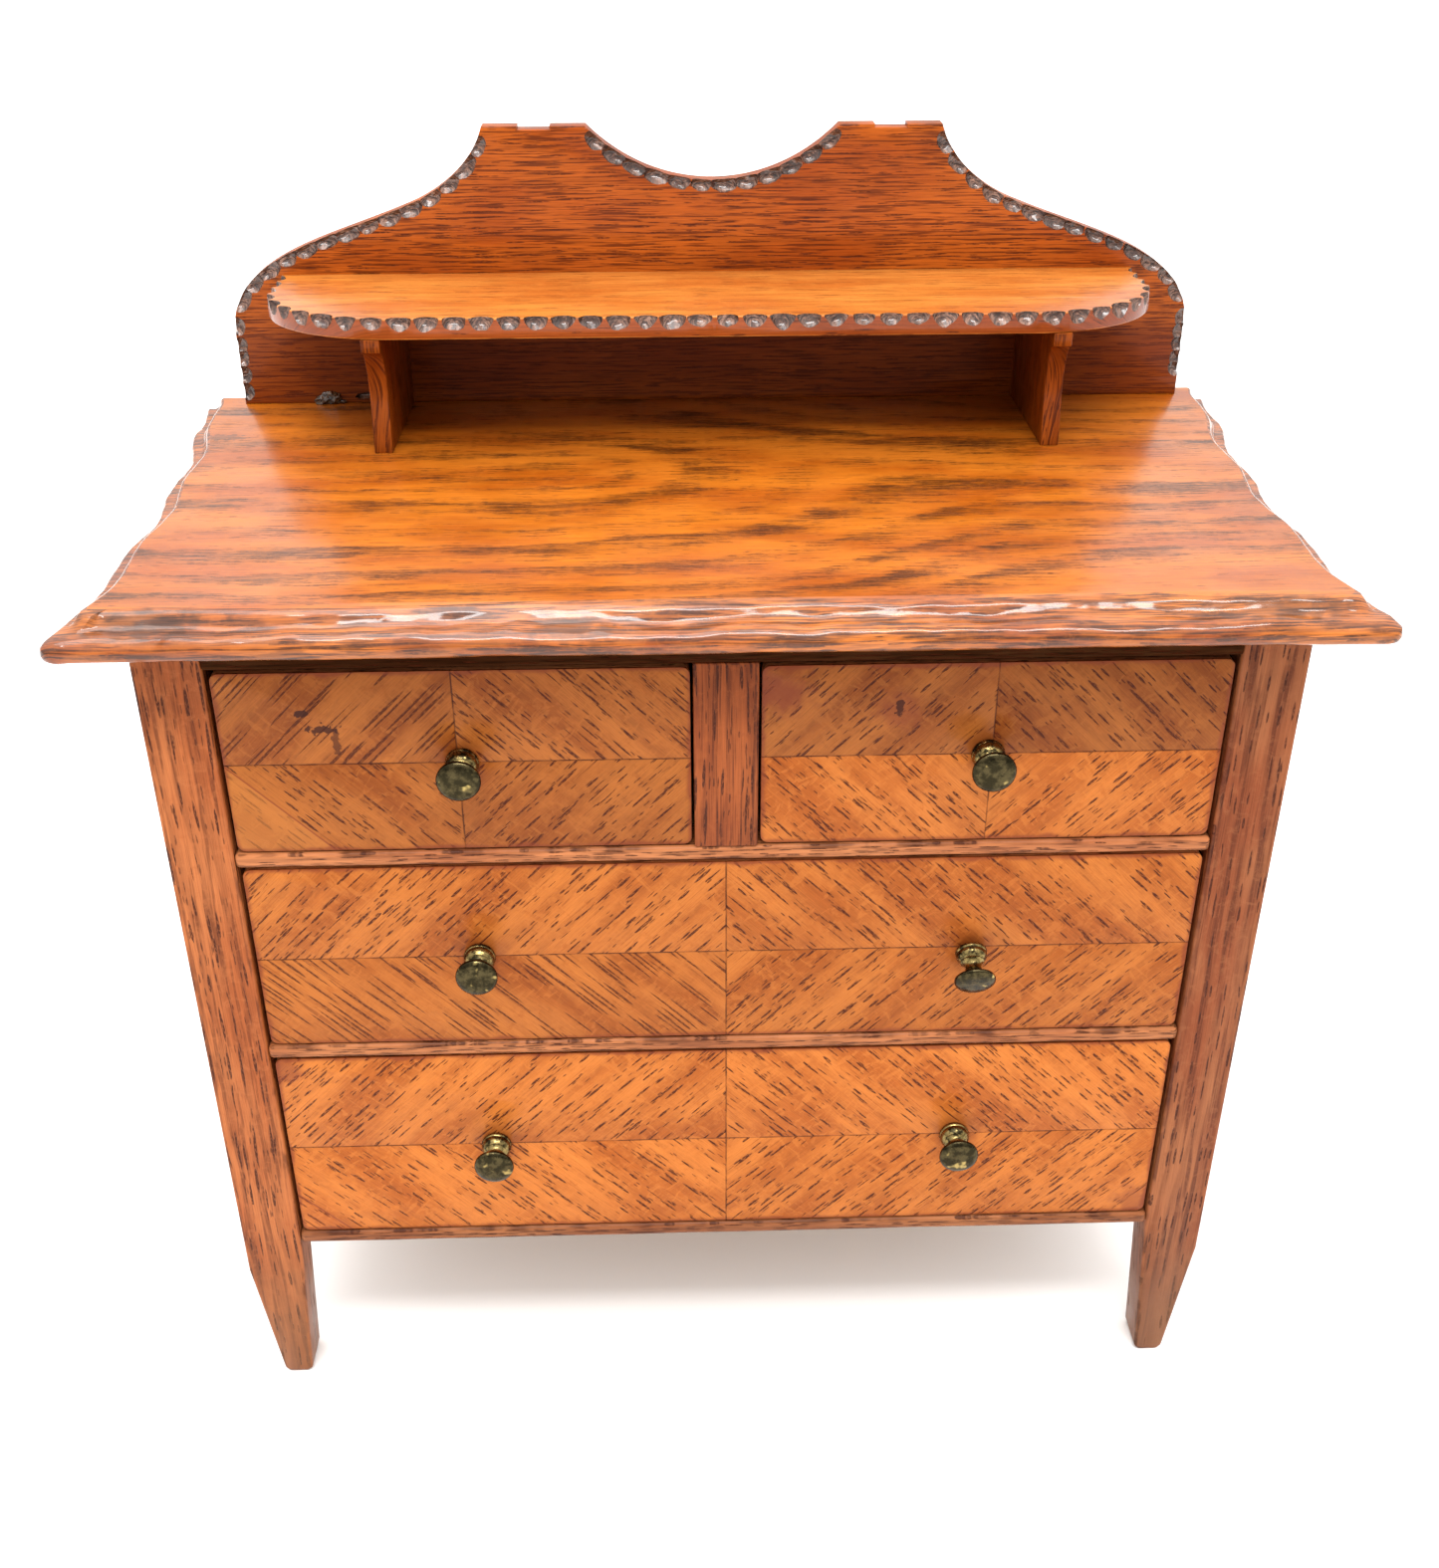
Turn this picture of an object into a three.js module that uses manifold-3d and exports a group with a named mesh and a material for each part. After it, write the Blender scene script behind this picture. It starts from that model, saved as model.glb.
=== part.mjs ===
// Miniature chest of drawers in oak: a case on four tapered posts, four veneered drawers with
// brass knobs, a moulded top and a carved gallery with a small bracket shelf.
// Millimetres, +Z up. X runs to the right, Y runs from the front to the back.
// The origin is on the floor, under the middle of the whole object.
import * as THREE from 'three';
import { mergeVertices } from 'three/addons/utils/BufferGeometryUtils.js';
import Module from 'manifold-3d';

const wasm = await Module();
wasm.setup();

// ---------------------------------------------------------------- driving dimensions
const CASE_HALF_WIDTH = 150;       // outer faces of the posts
const POST_WIDTH = 17.75;
const POST_DEPTH = 13;
const CASE_TOP = 265;              // underside of the top board
const CASE_FRONT = -74.5;
const CASE_BACK = 88;
const CASE_BOTTOM = 57;            // underside of the bottom rail and of the panels

const LEG_TAPER_START = 46;        // height at which the outer face starts to taper
const FOOT_OUTER_X = 144.5;
const FOOT_INNER_X = 135.5;
const FOOT_CHAMFER = 1.5;

const PANEL_THICKNESS = 5;         // side panels
const PANEL_INSET = 3;             // side panels lie behind the posts' outer faces
const BACK_THICKNESS = 4;
const BACK_INSET = 1;

const RAIL_THICKNESS = 4.5;
const TOP_RAIL_HEIGHT = 9.75;
const RAIL_BOTTOMS = { bottom: CASE_BOTTOM, middle: 130.25, upper: 195.75 };
const DIVIDER_HALF_WIDTH = 8.5;
const RUNNER_WIDTH = 20;
const CENTRE_RUNNER_HALF_WIDTH = 14;
const GUIDE_HEIGHT = 8;

const TOP_THICKNESS = 10;
const TOP_FRONT = -91.5;
const TOP_BACK = 91.5;
const TOP_WAIST_HALF_WIDTH = 159.25; // narrowest part of the sides, measured over the nose
const TOP_WAIST_Y = -20;
const TOP_FLARE = 0.0008;          // how fast the sides widen away from the waist
const SCALLOP_DEPTH = 1.1;
const SCALLOP_PITCH = 50;
const SCALLOP_VALLEY_Y = -12;
const TOP_EAR = 2.5;               // extra flare right at the front corners
const TOP_EAR_LENGTH = 16;
const TOP_CORNER = 3;              // rounding of the front corners, within the nose's own
const TOP_CORNER_STEPS = 4;
const TOP_SIDE_STEPS = 24;
const NOSE_ROUND = 3;              // rounding of the nose along the edge
const NOSE_ROUND_STEPS = 3;
const NOSE_HEIGHT = 7;             // height of the nose, the cove starts above it
const COVE_FRONT = 8.5;            // how far the flat field lies behind the nose in front
const COVE_SIDE = 6.25;            // the same at the sides
const COVE_SLOPE = 2;              // run of the sloping edge of the field
const FIELD_ROOT = 1;              // how deep the field is let into the nose

const GALLERY_FRONT = 84.5;
const GALLERY_HALF_WIDTH = 153.5;
const GALLERY_TOP = 360;
const GALLERY_SHIFT = 1.25;        // the gallery stands slightly to the right of the middle
const LUG_OUTER = 70.5;
const LUG_INNER = 39;
const LUG_NOTCH = 5;               // half width of the shallow step in each lug
const LUG_NOTCH_DEPTH = 1;
const DIP_RADIUS = 55.5;
const SHOULDER_Z = 298;            // the ends are upright up to here
const SWEEP_X = 96.5;              // where the convex shoulder meets the hollow sweep
const SWEEP_Z = 336.5;
const SHOULDER_HANDLES = [GALLERY_HALF_WIDTH, 321.5, 122, 326.5];
const SWEEP_HANDLES = [85, 340.5, 74, 349];

const SHELF_TOP = 316.5;
const SHELF_THICKNESS = 6;
const SHELF_HALF_WIDTH = 135;
const SHELF_FRONT = 28;
const SHELF_CORNER_WIDTH = 42;     // the large round corners are a little wider than deep
const SHELF_CORNER_DEPTH = 36;
const BRACKET_X = 101;
const BRACKET_THICKNESS = 5.5;
const BRACKET_FOOT_Y = 33;
const BRACKET_BLOCK = 4;           // square block under the shelf's front edge
const BRACKET_BLOCK_INSET = 0.5;
const BRACKET_WAIST = [34.5, 288];   // Y and Z where the hollow meets the straighter foot
const BRACKET_HOLLOW_HANDLE = [36, 297];
const BRACKET_FOOT_HANDLE = [33.5, 281];

const DRAWER_RECESS = 1;           // drawer fronts lie behind the rails' front faces
const DRAWER_SIDE_GAP = 1.25;
const DRAWER_INNER_GAP = 0.75;     // between the top drawers and the divider
const FRONT_THICKNESS = 9;
const DRAWER_WALL = 5;
const DRAWER_BOTTOM = 3;
const DRAWER_BOTTOM_RISE = 2;      // underside of the bottom above the sides' lower edges
const DRAWER_BACK = 76;
const RIDE_GAP = 0.25;             // drawer sides above their runners
const FRONT_RIDE_GAP = 0.5;        // drawer fronts above the rails
const SIDE_DROP = 5;               // sides lie lower than the front's upper edge
const BACK_DROP = 8;
const DRAWER_TOP_GAPS = { top: 1.5, middle: 1, bottom: 0.75 };

const KNOB_X = 69;
const SHANK_RADIUS = 1.25;
const SHANK_LENGTH = 6;
// Radius and Y from the drawer's face: a low-domed head, a narrow neck, a round base, a shank.
const KNOB_PROFILE = [
  [0, -11.5],
  [3.85, -11.2],
  [5.5, -10.5],
  [5.5, -9.5],
  [3.85, -8.25],
  [2.75, -7],
  [2.25, -5.5],
  [3, -4],
  [3.75, -2.75],
  [4.5, -1.5],
  [4.5, 0],
  [SHANK_RADIUS, 0],
  [SHANK_RADIUS, SHANK_LENGTH],
  [0, SHANK_LENGTH],
];
const SHANK_HOLE_RADIUS = 1.6;
const SHANK_HOLE_DEPTH = 7;

const CURVE_STEPS = 12;            // straight stretches in each curve of an outline
const KNOB_SEGMENTS = 20;
const HOLE_SEGMENTS = 16;

// ---------------------------------------------------------------- derived sizes
const POST_INNER = CASE_HALF_WIDTH - POST_WIDTH;
const RAIL_BACK = CASE_FRONT + POST_DEPTH;
const REAR_POST_FRONT = CASE_BACK - POST_DEPTH;
const PANEL_OUTER = CASE_HALF_WIDTH - PANEL_INSET;
const PANEL_INNER = PANEL_OUTER - PANEL_THICKNESS;
const BACK_PANEL_BACK = CASE_BACK - BACK_INSET;
const BACK_PANEL_FRONT = BACK_PANEL_BACK - BACK_THICKNESS;
const TOP_RAIL_BOTTOM = CASE_TOP - TOP_RAIL_HEIGHT;
const TOP_SURFACE = CASE_TOP + TOP_THICKNESS;
const SHELF_BOTTOM = SHELF_TOP - SHELF_THICKNESS;
const DRAWER_FRONT = CASE_FRONT + DRAWER_RECESS;
const DRAWER_HALF_WIDTH = POST_INNER - DRAWER_SIDE_GAP;

// ---------------------------------------------------------------- materials
const finish = (color, roughness, metalness = 0) =>
  new THREE.MeshStandardMaterial({ color, roughness, metalness });

const OAK_TOP = finish(0xb8672a, 0.3);
const OAK_GALLERY = finish(0x8a4318, 0.42);
const OAK_SHELF = finish(0xb4652c, 0.38);
const OAK_CASE = finish(0x9a5f38, 0.5);
const OAK_VENEER = finish(0xb9683a, 0.45);
const PLAIN_WOOD = finish(0xb99468, 0.75);
const BRASS = finish(0x6f6034, 0.35, 1);

// ---------------------------------------------------------------- helpers
const model = new THREE.Group();
model.name = 'miniature_chest_of_drawers';

function addMesh(name, geometry, material, position = [0, 0, 0]) {
  const mesh = new THREE.Mesh(geometry, material);
  mesh.name = name;
  mesh.position.set(...position);
  model.add(mesh);
}

// A box between two limits along each axis.
function boxGeometry([x0, x1], [y0, y1], [z0, z1]) {
  const geometry = new THREE.BoxGeometry(x1 - x0, y1 - y0, z1 - z0);
  geometry.translate((x0 + x1) / 2, (y0 + y1) / 2, (z0 + z1) / 2);
  return geometry;
}

const addBox = (name, x, y, z, material) => addMesh(name, boxGeometry(x, y, z), material);

// Limits on the right side, mirrored for side = -1.
const sided = (side, inner, outer) => (side > 0 ? [inner, outer] : [-outer, -inner]);

// A closed outline from its right half, which starts and ends on the middle line.
function mirroredShape(half, divisions = CURVE_STEPS) {
  const right = half.getPoints(divisions);
  const left = right.slice(1, -1).reverse().map((p) => new THREE.Vector2(-p.x, p.y));
  return new THREE.Shape([...right, ...left]);
}

// An outline drawn in X and Z, as thick as the stretch between two Y values.
function frontal(shape, y0, y1) {
  const geometry = new THREE.ExtrudeGeometry(shape, {
    depth: y1 - y0,
    bevelEnabled: false,
    curveSegments: CURVE_STEPS,
  });
  geometry.rotateX(Math.PI / 2);
  geometry.translate(0, y1, 0);
  return geometry;
}

// An outline drawn in Y and Z, as thick as the stretch between two X values.
function profileAlongX(shape, x0, x1) {
  const geometry = new THREE.ExtrudeGeometry(shape, {
    depth: x1 - x0,
    bevelEnabled: false,
    curveSegments: CURVE_STEPS,
  });
  geometry.applyMatrix4(
    new THREE.Matrix4().makeBasis(
      new THREE.Vector3(0, 1, 0),
      new THREE.Vector3(0, 0, 1),
      new THREE.Vector3(1, 0, 0),
    ),
  );
  geometry.translate(x0, 0, 0);
  return geometry;
}

function toManifold(geometry) {
  const bare = geometry.clone();
  bare.deleteAttribute('normal');
  bare.deleteAttribute('uv');
  const merged = mergeVertices(bare, 1e-4);
  const mesh = new wasm.Mesh({
    numProp: 3,
    vertProperties: new Float32Array(merged.attributes.position.array),
    triVerts: new Uint32Array(merged.index.array),
  });
  return new wasm.Manifold(mesh);
}

function fromManifold(solid) {
  const { vertProperties, triVerts, numProp } = solid.getMesh();
  const position = new Float32Array((vertProperties.length / numProp) * 3);
  for (let i = 0; i < position.length / 3; i += 1) {
    position.set(vertProperties.subarray(i * numProp, i * numProp + 3), i * 3);
  }
  const geometry = new THREE.BufferGeometry();
  geometry.setAttribute('position', new THREE.BufferAttribute(position, 3));
  geometry.setIndex(new THREE.BufferAttribute(new Uint32Array(triVerts), 1));
  geometry.computeVertexNormals();
  return geometry;
}

const union = (a, b) => fromManifold(toManifold(a).add(toManifold(b)));
const difference = (a, b) => fromManifold(toManifold(a).subtract(toManifold(b)));

// ---------------------------------------------------------------- top board
// Half width over the nose at a given depth: a waisted side with shallow hand-cut scallops.
function topHalfWidth(y) {
  const flare = TOP_FLARE * (y - TOP_WAIST_Y) ** 2;
  const phase = (2 * Math.PI * (y - SCALLOP_VALLEY_Y)) / SCALLOP_PITCH;
  const ear = TOP_EAR * Math.max(0, 1 - (y - TOP_FRONT) / TOP_EAR_LENGTH) ** 2;
  return TOP_WAIST_HALF_WIDTH + flare + ear - SCALLOP_DEPTH * Math.cos(phase);
}

// Plan outline of the top, drawn inwards from the nose by a front and a side inset.
// It runs past the back edge, which is cut straight afterwards.
function topOutline(frontInset, sideInset) {
  const front = TOP_FRONT + frontInset;
  const cornerEnd = front + TOP_CORNER;
  const back = TOP_BACK + 2 * NOSE_ROUND;
  const sideX = (y) => topHalfWidth(Math.min(y, TOP_BACK)) - sideInset;
  const half = new THREE.Path();
  half.moveTo(0, front);
  half.lineTo(sideX(cornerEnd) - TOP_CORNER, front);
  half.quadraticCurveTo(sideX(cornerEnd), front, sideX(cornerEnd), cornerEnd);
  for (let i = 1; i <= TOP_SIDE_STEPS; i += 1) {
    const y = cornerEnd + ((back - cornerEnd) * i) / TOP_SIDE_STEPS;
    half.lineTo(sideX(y), y);
  }
  half.lineTo(0, back);
  return mirroredShape(half, TOP_CORNER_STEPS);
}

// A nose with rounded edges, and above it a flat field whose sloping edge forms the cove.
function buildTopBoard() {
  const nose = new THREE.ExtrudeGeometry(topOutline(NOSE_ROUND, NOSE_ROUND), {
    depth: NOSE_HEIGHT - 2 * NOSE_ROUND,
    bevelThickness: NOSE_ROUND,
    bevelSize: NOSE_ROUND,
    bevelSegments: NOSE_ROUND_STEPS,
  });
  nose.translate(0, 0, CASE_TOP + NOSE_ROUND);
  const coveRise = TOP_SURFACE - CASE_TOP - NOSE_HEIGHT;
  const field = new THREE.ExtrudeGeometry(topOutline(COVE_FRONT, COVE_SIDE), {
    depth: FIELD_ROOT,
    bevelThickness: coveRise,
    bevelSize: COVE_SLOPE,
    bevelSegments: 1,
  });
  field.translate(0, 0, CASE_TOP + NOSE_HEIGHT - FIELD_ROOT);
  const rear = boxGeometry(
    [-2 * CASE_HALF_WIDTH, 2 * CASE_HALF_WIDTH],
    [TOP_BACK, TOP_BACK + POST_DEPTH],
    [CASE_TOP - TOP_THICKNESS, TOP_SURFACE + TOP_THICKNESS],
  );
  return difference(union(nose, field), rear);
}

addMesh('top_board', buildTopBoard(), OAK_TOP);

// ---------------------------------------------------------------- gallery
// A low shoulder at each end sweeps up to a lug, and a round dip is cut between the two lugs.
function galleryShape() {
  const lugMiddle = (LUG_INNER + LUG_OUTER) / 2;
  const notchFloor = GALLERY_TOP - LUG_NOTCH_DEPTH;
  const halfAngle = Math.asin(LUG_INNER / DIP_RADIUS);
  const dipCentre = GALLERY_TOP + DIP_RADIUS * Math.cos(halfAngle);
  const half = new THREE.Path();
  half.moveTo(0, TOP_SURFACE);
  half.lineTo(GALLERY_HALF_WIDTH, TOP_SURFACE);
  half.lineTo(GALLERY_HALF_WIDTH, SHOULDER_Z);
  half.bezierCurveTo(...SHOULDER_HANDLES, SWEEP_X, SWEEP_Z);
  half.bezierCurveTo(...SWEEP_HANDLES, LUG_OUTER, GALLERY_TOP);
  half.lineTo(lugMiddle + LUG_NOTCH, GALLERY_TOP);
  half.lineTo(lugMiddle + LUG_NOTCH, notchFloor);
  half.lineTo(lugMiddle - LUG_NOTCH, notchFloor);
  half.lineTo(lugMiddle - LUG_NOTCH, GALLERY_TOP);
  half.lineTo(LUG_INNER, GALLERY_TOP);
  half.absarc(0, dipCentre, DIP_RADIUS, halfAngle - Math.PI / 2, -Math.PI / 2, true);
  return mirroredShape(half);
}

// A board with square ends at the back and large round corners in front.
function shelfShape() {
  const half = new THREE.Path();
  half.moveTo(0, SHELF_FRONT);
  half.lineTo(SHELF_HALF_WIDTH - SHELF_CORNER_WIDTH, SHELF_FRONT);
  half.absellipse(
    SHELF_HALF_WIDTH - SHELF_CORNER_WIDTH,
    SHELF_FRONT + SHELF_CORNER_DEPTH,
    SHELF_CORNER_WIDTH,
    SHELF_CORNER_DEPTH,
    -Math.PI / 2,
    0,
    false,
  );
  half.lineTo(SHELF_HALF_WIDTH, GALLERY_FRONT);
  half.lineTo(0, GALLERY_FRONT);
  return mirroredShape(half);
}

// Side view of a bracket: a square block under the shelf's edge, then a hollow front.
function bracketShape() {
  const blockFront = SHELF_FRONT + BRACKET_BLOCK_INSET;
  const blockBottom = SHELF_BOTTOM - BRACKET_BLOCK;
  const shape = new THREE.Shape();
  shape.moveTo(BRACKET_FOOT_Y, TOP_SURFACE);
  shape.lineTo(GALLERY_FRONT, TOP_SURFACE);
  shape.lineTo(GALLERY_FRONT, SHELF_BOTTOM);
  shape.lineTo(blockFront, SHELF_BOTTOM);
  shape.lineTo(blockFront, blockBottom);
  shape.bezierCurveTo(BRACKET_FOOT_Y, blockBottom, ...BRACKET_HOLLOW_HANDLE, ...BRACKET_WAIST);
  shape.quadraticCurveTo(...BRACKET_FOOT_HANDLE, BRACKET_FOOT_Y, TOP_SURFACE);
  return shape;
}

const backboard = frontal(galleryShape(), GALLERY_FRONT, TOP_BACK);
addMesh('gallery_backboard', backboard, OAK_GALLERY, [GALLERY_SHIFT, 0, 0]);

const shelf = new THREE.ExtrudeGeometry(shelfShape(), {
  depth: SHELF_THICKNESS,
  bevelEnabled: false,
});
addMesh('gallery_shelf', shelf, OAK_SHELF, [0, 0, SHELF_BOTTOM]);

for (const [label, side] of [['left', -1], ['right', 1]]) {
  const middle = side * BRACKET_X + GALLERY_SHIFT;
  const half = BRACKET_THICKNESS / 2;
  const bracket = profileAlongX(bracketShape(), middle - half, middle + half);
  addMesh(`shelf_bracket_${label}`, bracket, OAK_GALLERY);
}

// ---------------------------------------------------------------- case
// Front view of a post: straight down to the panels, then tapered on both faces to the foot.
function postShape(side) {
  const shape = new THREE.Shape();
  shape.moveTo(side * POST_INNER, CASE_TOP);
  shape.lineTo(side * POST_INNER, CASE_BOTTOM);
  shape.lineTo(side * FOOT_INNER_X, FOOT_CHAMFER);
  shape.lineTo(side * (FOOT_INNER_X + FOOT_CHAMFER), 0);
  shape.lineTo(side * (FOOT_OUTER_X - FOOT_CHAMFER), 0);
  shape.lineTo(side * FOOT_OUTER_X, FOOT_CHAMFER);
  shape.lineTo(side * CASE_HALF_WIDTH, LEG_TAPER_START);
  shape.lineTo(side * CASE_HALF_WIDTH, CASE_TOP);
  return shape;
}

const SIDES = [['left', -1], ['right', 1]];

for (const [label, side] of SIDES) {
  const shape = postShape(side);
  addMesh(`post_front_${label}`, frontal(shape, CASE_FRONT, RAIL_BACK), OAK_CASE);
  addMesh(`post_back_${label}`, frontal(shape, REAR_POST_FRONT, CASE_BACK), OAK_CASE);
  addBox(
    `side_panel_${label}`,
    sided(side, PANEL_INNER, PANEL_OUTER),
    [RAIL_BACK, REAR_POST_FRONT],
    [CASE_BOTTOM, CASE_TOP],
    OAK_CASE,
  );
}

const BETWEEN_POSTS = [-POST_INNER, POST_INNER];
const RAIL_DEPTH = [CASE_FRONT, RAIL_BACK];

addBox('back_panel', BETWEEN_POSTS, [BACK_PANEL_FRONT, BACK_PANEL_BACK], [CASE_BOTTOM, CASE_TOP],
  PLAIN_WOOD);
addBox('top_front_rail', BETWEEN_POSTS, RAIL_DEPTH, [TOP_RAIL_BOTTOM, CASE_TOP], OAK_CASE);
addBox('top_back_rail', BETWEEN_POSTS, [BACK_PANEL_FRONT - POST_DEPTH, BACK_PANEL_FRONT],
  [TOP_RAIL_BOTTOM, CASE_TOP], PLAIN_WOOD);

for (const [level, bottom] of Object.entries(RAIL_BOTTOMS)) {
  const railTop = bottom + RAIL_THICKNESS;
  addBox(`rail_${level}`, BETWEEN_POSTS, RAIL_DEPTH, [bottom, railTop], OAK_CASE);
  for (const [label, side] of SIDES) {
    const between = [RAIL_BACK, REAR_POST_FRONT];
    addBox(`runner_${level}_${label}`, sided(side, PANEL_INNER - RUNNER_WIDTH, PANEL_INNER),
      between, [bottom, railTop], PLAIN_WOOD);
    addBox(`guide_${level}_${label}`, sided(side, POST_INNER, PANEL_INNER), between,
      [railTop, railTop + GUIDE_HEIGHT], PLAIN_WOOD);
  }
}

const UPPER_RAIL_TOP = RAIL_BOTTOMS.upper + RAIL_THICKNESS;
const DIVIDER_WIDTH = [-DIVIDER_HALF_WIDTH, DIVIDER_HALF_WIDTH];
const INSIDE_DEPTH = [RAIL_BACK, BACK_PANEL_FRONT];

addBox('centre_divider', DIVIDER_WIDTH, RAIL_DEPTH, [UPPER_RAIL_TOP, TOP_RAIL_BOTTOM], OAK_CASE);
addBox('centre_runner', [-CENTRE_RUNNER_HALF_WIDTH, CENTRE_RUNNER_HALF_WIDTH], INSIDE_DEPTH,
  [RAIL_BOTTOMS.upper, UPPER_RAIL_TOP], PLAIN_WOOD);
addBox('centre_guide', DIVIDER_WIDTH, INSIDE_DEPTH,
  [UPPER_RAIL_TOP, UPPER_RAIL_TOP + GUIDE_HEIGHT], PLAIN_WOOD);

// ---------------------------------------------------------------- drawers
function knobGeometry() {
  const profile = KNOB_PROFILE.map(([radius, y]) => new THREE.Vector2(radius, y));
  return new THREE.LatheGeometry(profile, KNOB_SEGMENTS);
}

function frontWithHoles(x, z, knobXs, knobZ) {
  let front = boxGeometry(x, [DRAWER_FRONT, DRAWER_FRONT + FRONT_THICKNESS], z);
  for (const knobX of knobXs) {
    const hole = new THREE.CylinderGeometry(
      SHANK_HOLE_RADIUS, SHANK_HOLE_RADIUS, 2 * SHANK_HOLE_DEPTH, HOLE_SEGMENTS);
    hole.translate(knobX, DRAWER_FRONT, knobZ);
    front = difference(front, hole);
  }
  return front;
}

// One drawer: front, two sides, back, bottom panel and its knobs.
function addDrawer(name, [left, right], railTop, openingTop, topGap, knobs) {
  const frontZ = [railTop + FRONT_RIDE_GAP, openingTop - topGap];
  const knobZ = (frontZ[0] + frontZ[1]) / 2;
  const front = frontWithHoles([left, right], frontZ, knobs.map((k) => k.x), knobZ);
  addMesh(`drawer_${name}_front`, front, OAK_VENEER);

  const wallFront = DRAWER_FRONT + FRONT_THICKNESS;
  const sideZ = [railTop + RIDE_GAP, frontZ[1] - SIDE_DROP];
  const inner = [left + DRAWER_WALL, right - DRAWER_WALL];
  const sideY = [wallFront, DRAWER_BACK];
  addBox(`drawer_${name}_side_left`, [left, inner[0]], sideY, sideZ, PLAIN_WOOD);
  addBox(`drawer_${name}_side_right`, [inner[1], right], sideY, sideZ, PLAIN_WOOD);

  const bottomZ = sideZ[0] + DRAWER_BOTTOM_RISE;
  const floorZ = bottomZ + DRAWER_BOTTOM;
  addBox(`drawer_${name}_bottom`, inner, sideY, [bottomZ, floorZ], PLAIN_WOOD);
  addBox(`drawer_${name}_back`, inner, [DRAWER_BACK - DRAWER_WALL, DRAWER_BACK],
    [floorZ, frontZ[1] - BACK_DROP], PLAIN_WOOD);

  for (const knob of knobs) {
    addMesh(knob.name, knobGeometry(), BRASS, [knob.x, DRAWER_FRONT, knobZ]);
  }
}

const SMALL_INNER = DIVIDER_HALF_WIDTH + DRAWER_INNER_GAP;
const FULL_WIDTH = [-DRAWER_HALF_WIDTH, DRAWER_HALF_WIDTH];

for (const [label, side] of SIDES) {
  addDrawer(`top_${label}`, sided(side, SMALL_INNER, DRAWER_HALF_WIDTH), UPPER_RAIL_TOP,
    TOP_RAIL_BOTTOM, DRAWER_TOP_GAPS.top, [{ name: `knob_top_${label}`, x: side * KNOB_X }]);
}

const pairOfKnobs = (level) =>
  SIDES.map(([label, side]) => ({ name: `knob_${level}_${label}`, x: side * KNOB_X }));

addDrawer('middle', FULL_WIDTH, RAIL_BOTTOMS.middle + RAIL_THICKNESS, RAIL_BOTTOMS.upper,
  DRAWER_TOP_GAPS.middle, pairOfKnobs('middle'));
addDrawer('bottom', FULL_WIDTH, RAIL_BOTTOMS.bottom + RAIL_THICKNESS, RAIL_BOTTOMS.middle,
  DRAWER_TOP_GAPS.bottom, pairOfKnobs('bottom'));

export default model;
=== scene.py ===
"""A miniature oak chest of drawers, finished for rendering around its CAD frame.

Lengths are in metres unless a name ends in _mm. X runs to the right, Y from front to back.
"""
import math
import random

import bmesh
import bpy
from mathutils import Matrix, Vector, noise


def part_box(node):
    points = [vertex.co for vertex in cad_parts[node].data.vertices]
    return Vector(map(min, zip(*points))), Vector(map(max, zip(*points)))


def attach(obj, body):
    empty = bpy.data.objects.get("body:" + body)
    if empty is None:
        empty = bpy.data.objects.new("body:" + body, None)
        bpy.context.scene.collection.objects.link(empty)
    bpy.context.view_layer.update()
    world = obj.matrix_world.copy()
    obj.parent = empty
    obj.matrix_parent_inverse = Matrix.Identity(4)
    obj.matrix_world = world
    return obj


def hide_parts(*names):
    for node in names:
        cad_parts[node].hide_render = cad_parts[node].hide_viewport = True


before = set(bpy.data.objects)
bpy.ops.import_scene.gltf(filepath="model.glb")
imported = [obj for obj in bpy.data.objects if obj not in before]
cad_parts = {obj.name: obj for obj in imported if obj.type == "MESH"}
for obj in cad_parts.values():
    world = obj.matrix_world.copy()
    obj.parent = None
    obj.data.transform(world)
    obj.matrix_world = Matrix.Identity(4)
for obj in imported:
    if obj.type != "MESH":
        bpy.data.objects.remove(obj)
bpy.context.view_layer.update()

MM = 0.001
CASE = "case"
SIDES = ("left", "right")


# ---------------- camera, light and floor
CAMERA_PLACE = Vector((-0.013, -0.4546, 0.4396))
CAMERA_YAW = math.radians(1.69)
CAMERA_PITCH = math.radians(30.02)
CAMERA_ROLL = math.radians(-0.13)
CAMERA_LENS_MM = 38.16
HORIZON_LIGHT = 0.35
ZENITH_LIGHT = 2.5
# name, place, the point that it faces, size and watts
LIGHTS = (
    ("overhead", (-0.25, -0.15, 1.3), (0, 0, 0.15), (0.9, 0.6), 8),
    ("highlight_strip", (0.06, -0.62, 1.2), (0, -0.08, 0.27), (0.8, 0.17), 8),
)
FLOOR_HALF = 8


def placed(name, data):
    obj = bpy.data.objects.new(name, data)
    bpy.context.scene.collection.objects.link(obj)
    return obj


def make_camera():
    data = bpy.data.cameras.new("camera")
    data.sensor_width = 36
    data.lens = CAMERA_LENS_MM
    data.clip_start = 0.01
    camera = placed("camera", data)
    turn = (
        Matrix.Rotation(-CAMERA_YAW, 4, "Z")
        @ Matrix.Rotation(math.pi / 2 - CAMERA_PITCH, 4, "X")
        @ Matrix.Rotation(CAMERA_ROLL, 4, "Z")
    )
    camera.matrix_world = Matrix.Translation(CAMERA_PLACE) @ turn
    bpy.context.scene.camera = camera


def area_light(name, place, target, size, watts):
    data = bpy.data.lights.new(name, "AREA")
    data.shape = "RECTANGLE"
    data.size, data.size_y = size
    data.energy = watts
    light = placed(name, data)
    light.location = place
    light.rotation_euler = (Vector(target) - Vector(place)).to_track_quat("-Z", "Y").to_euler()


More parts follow.
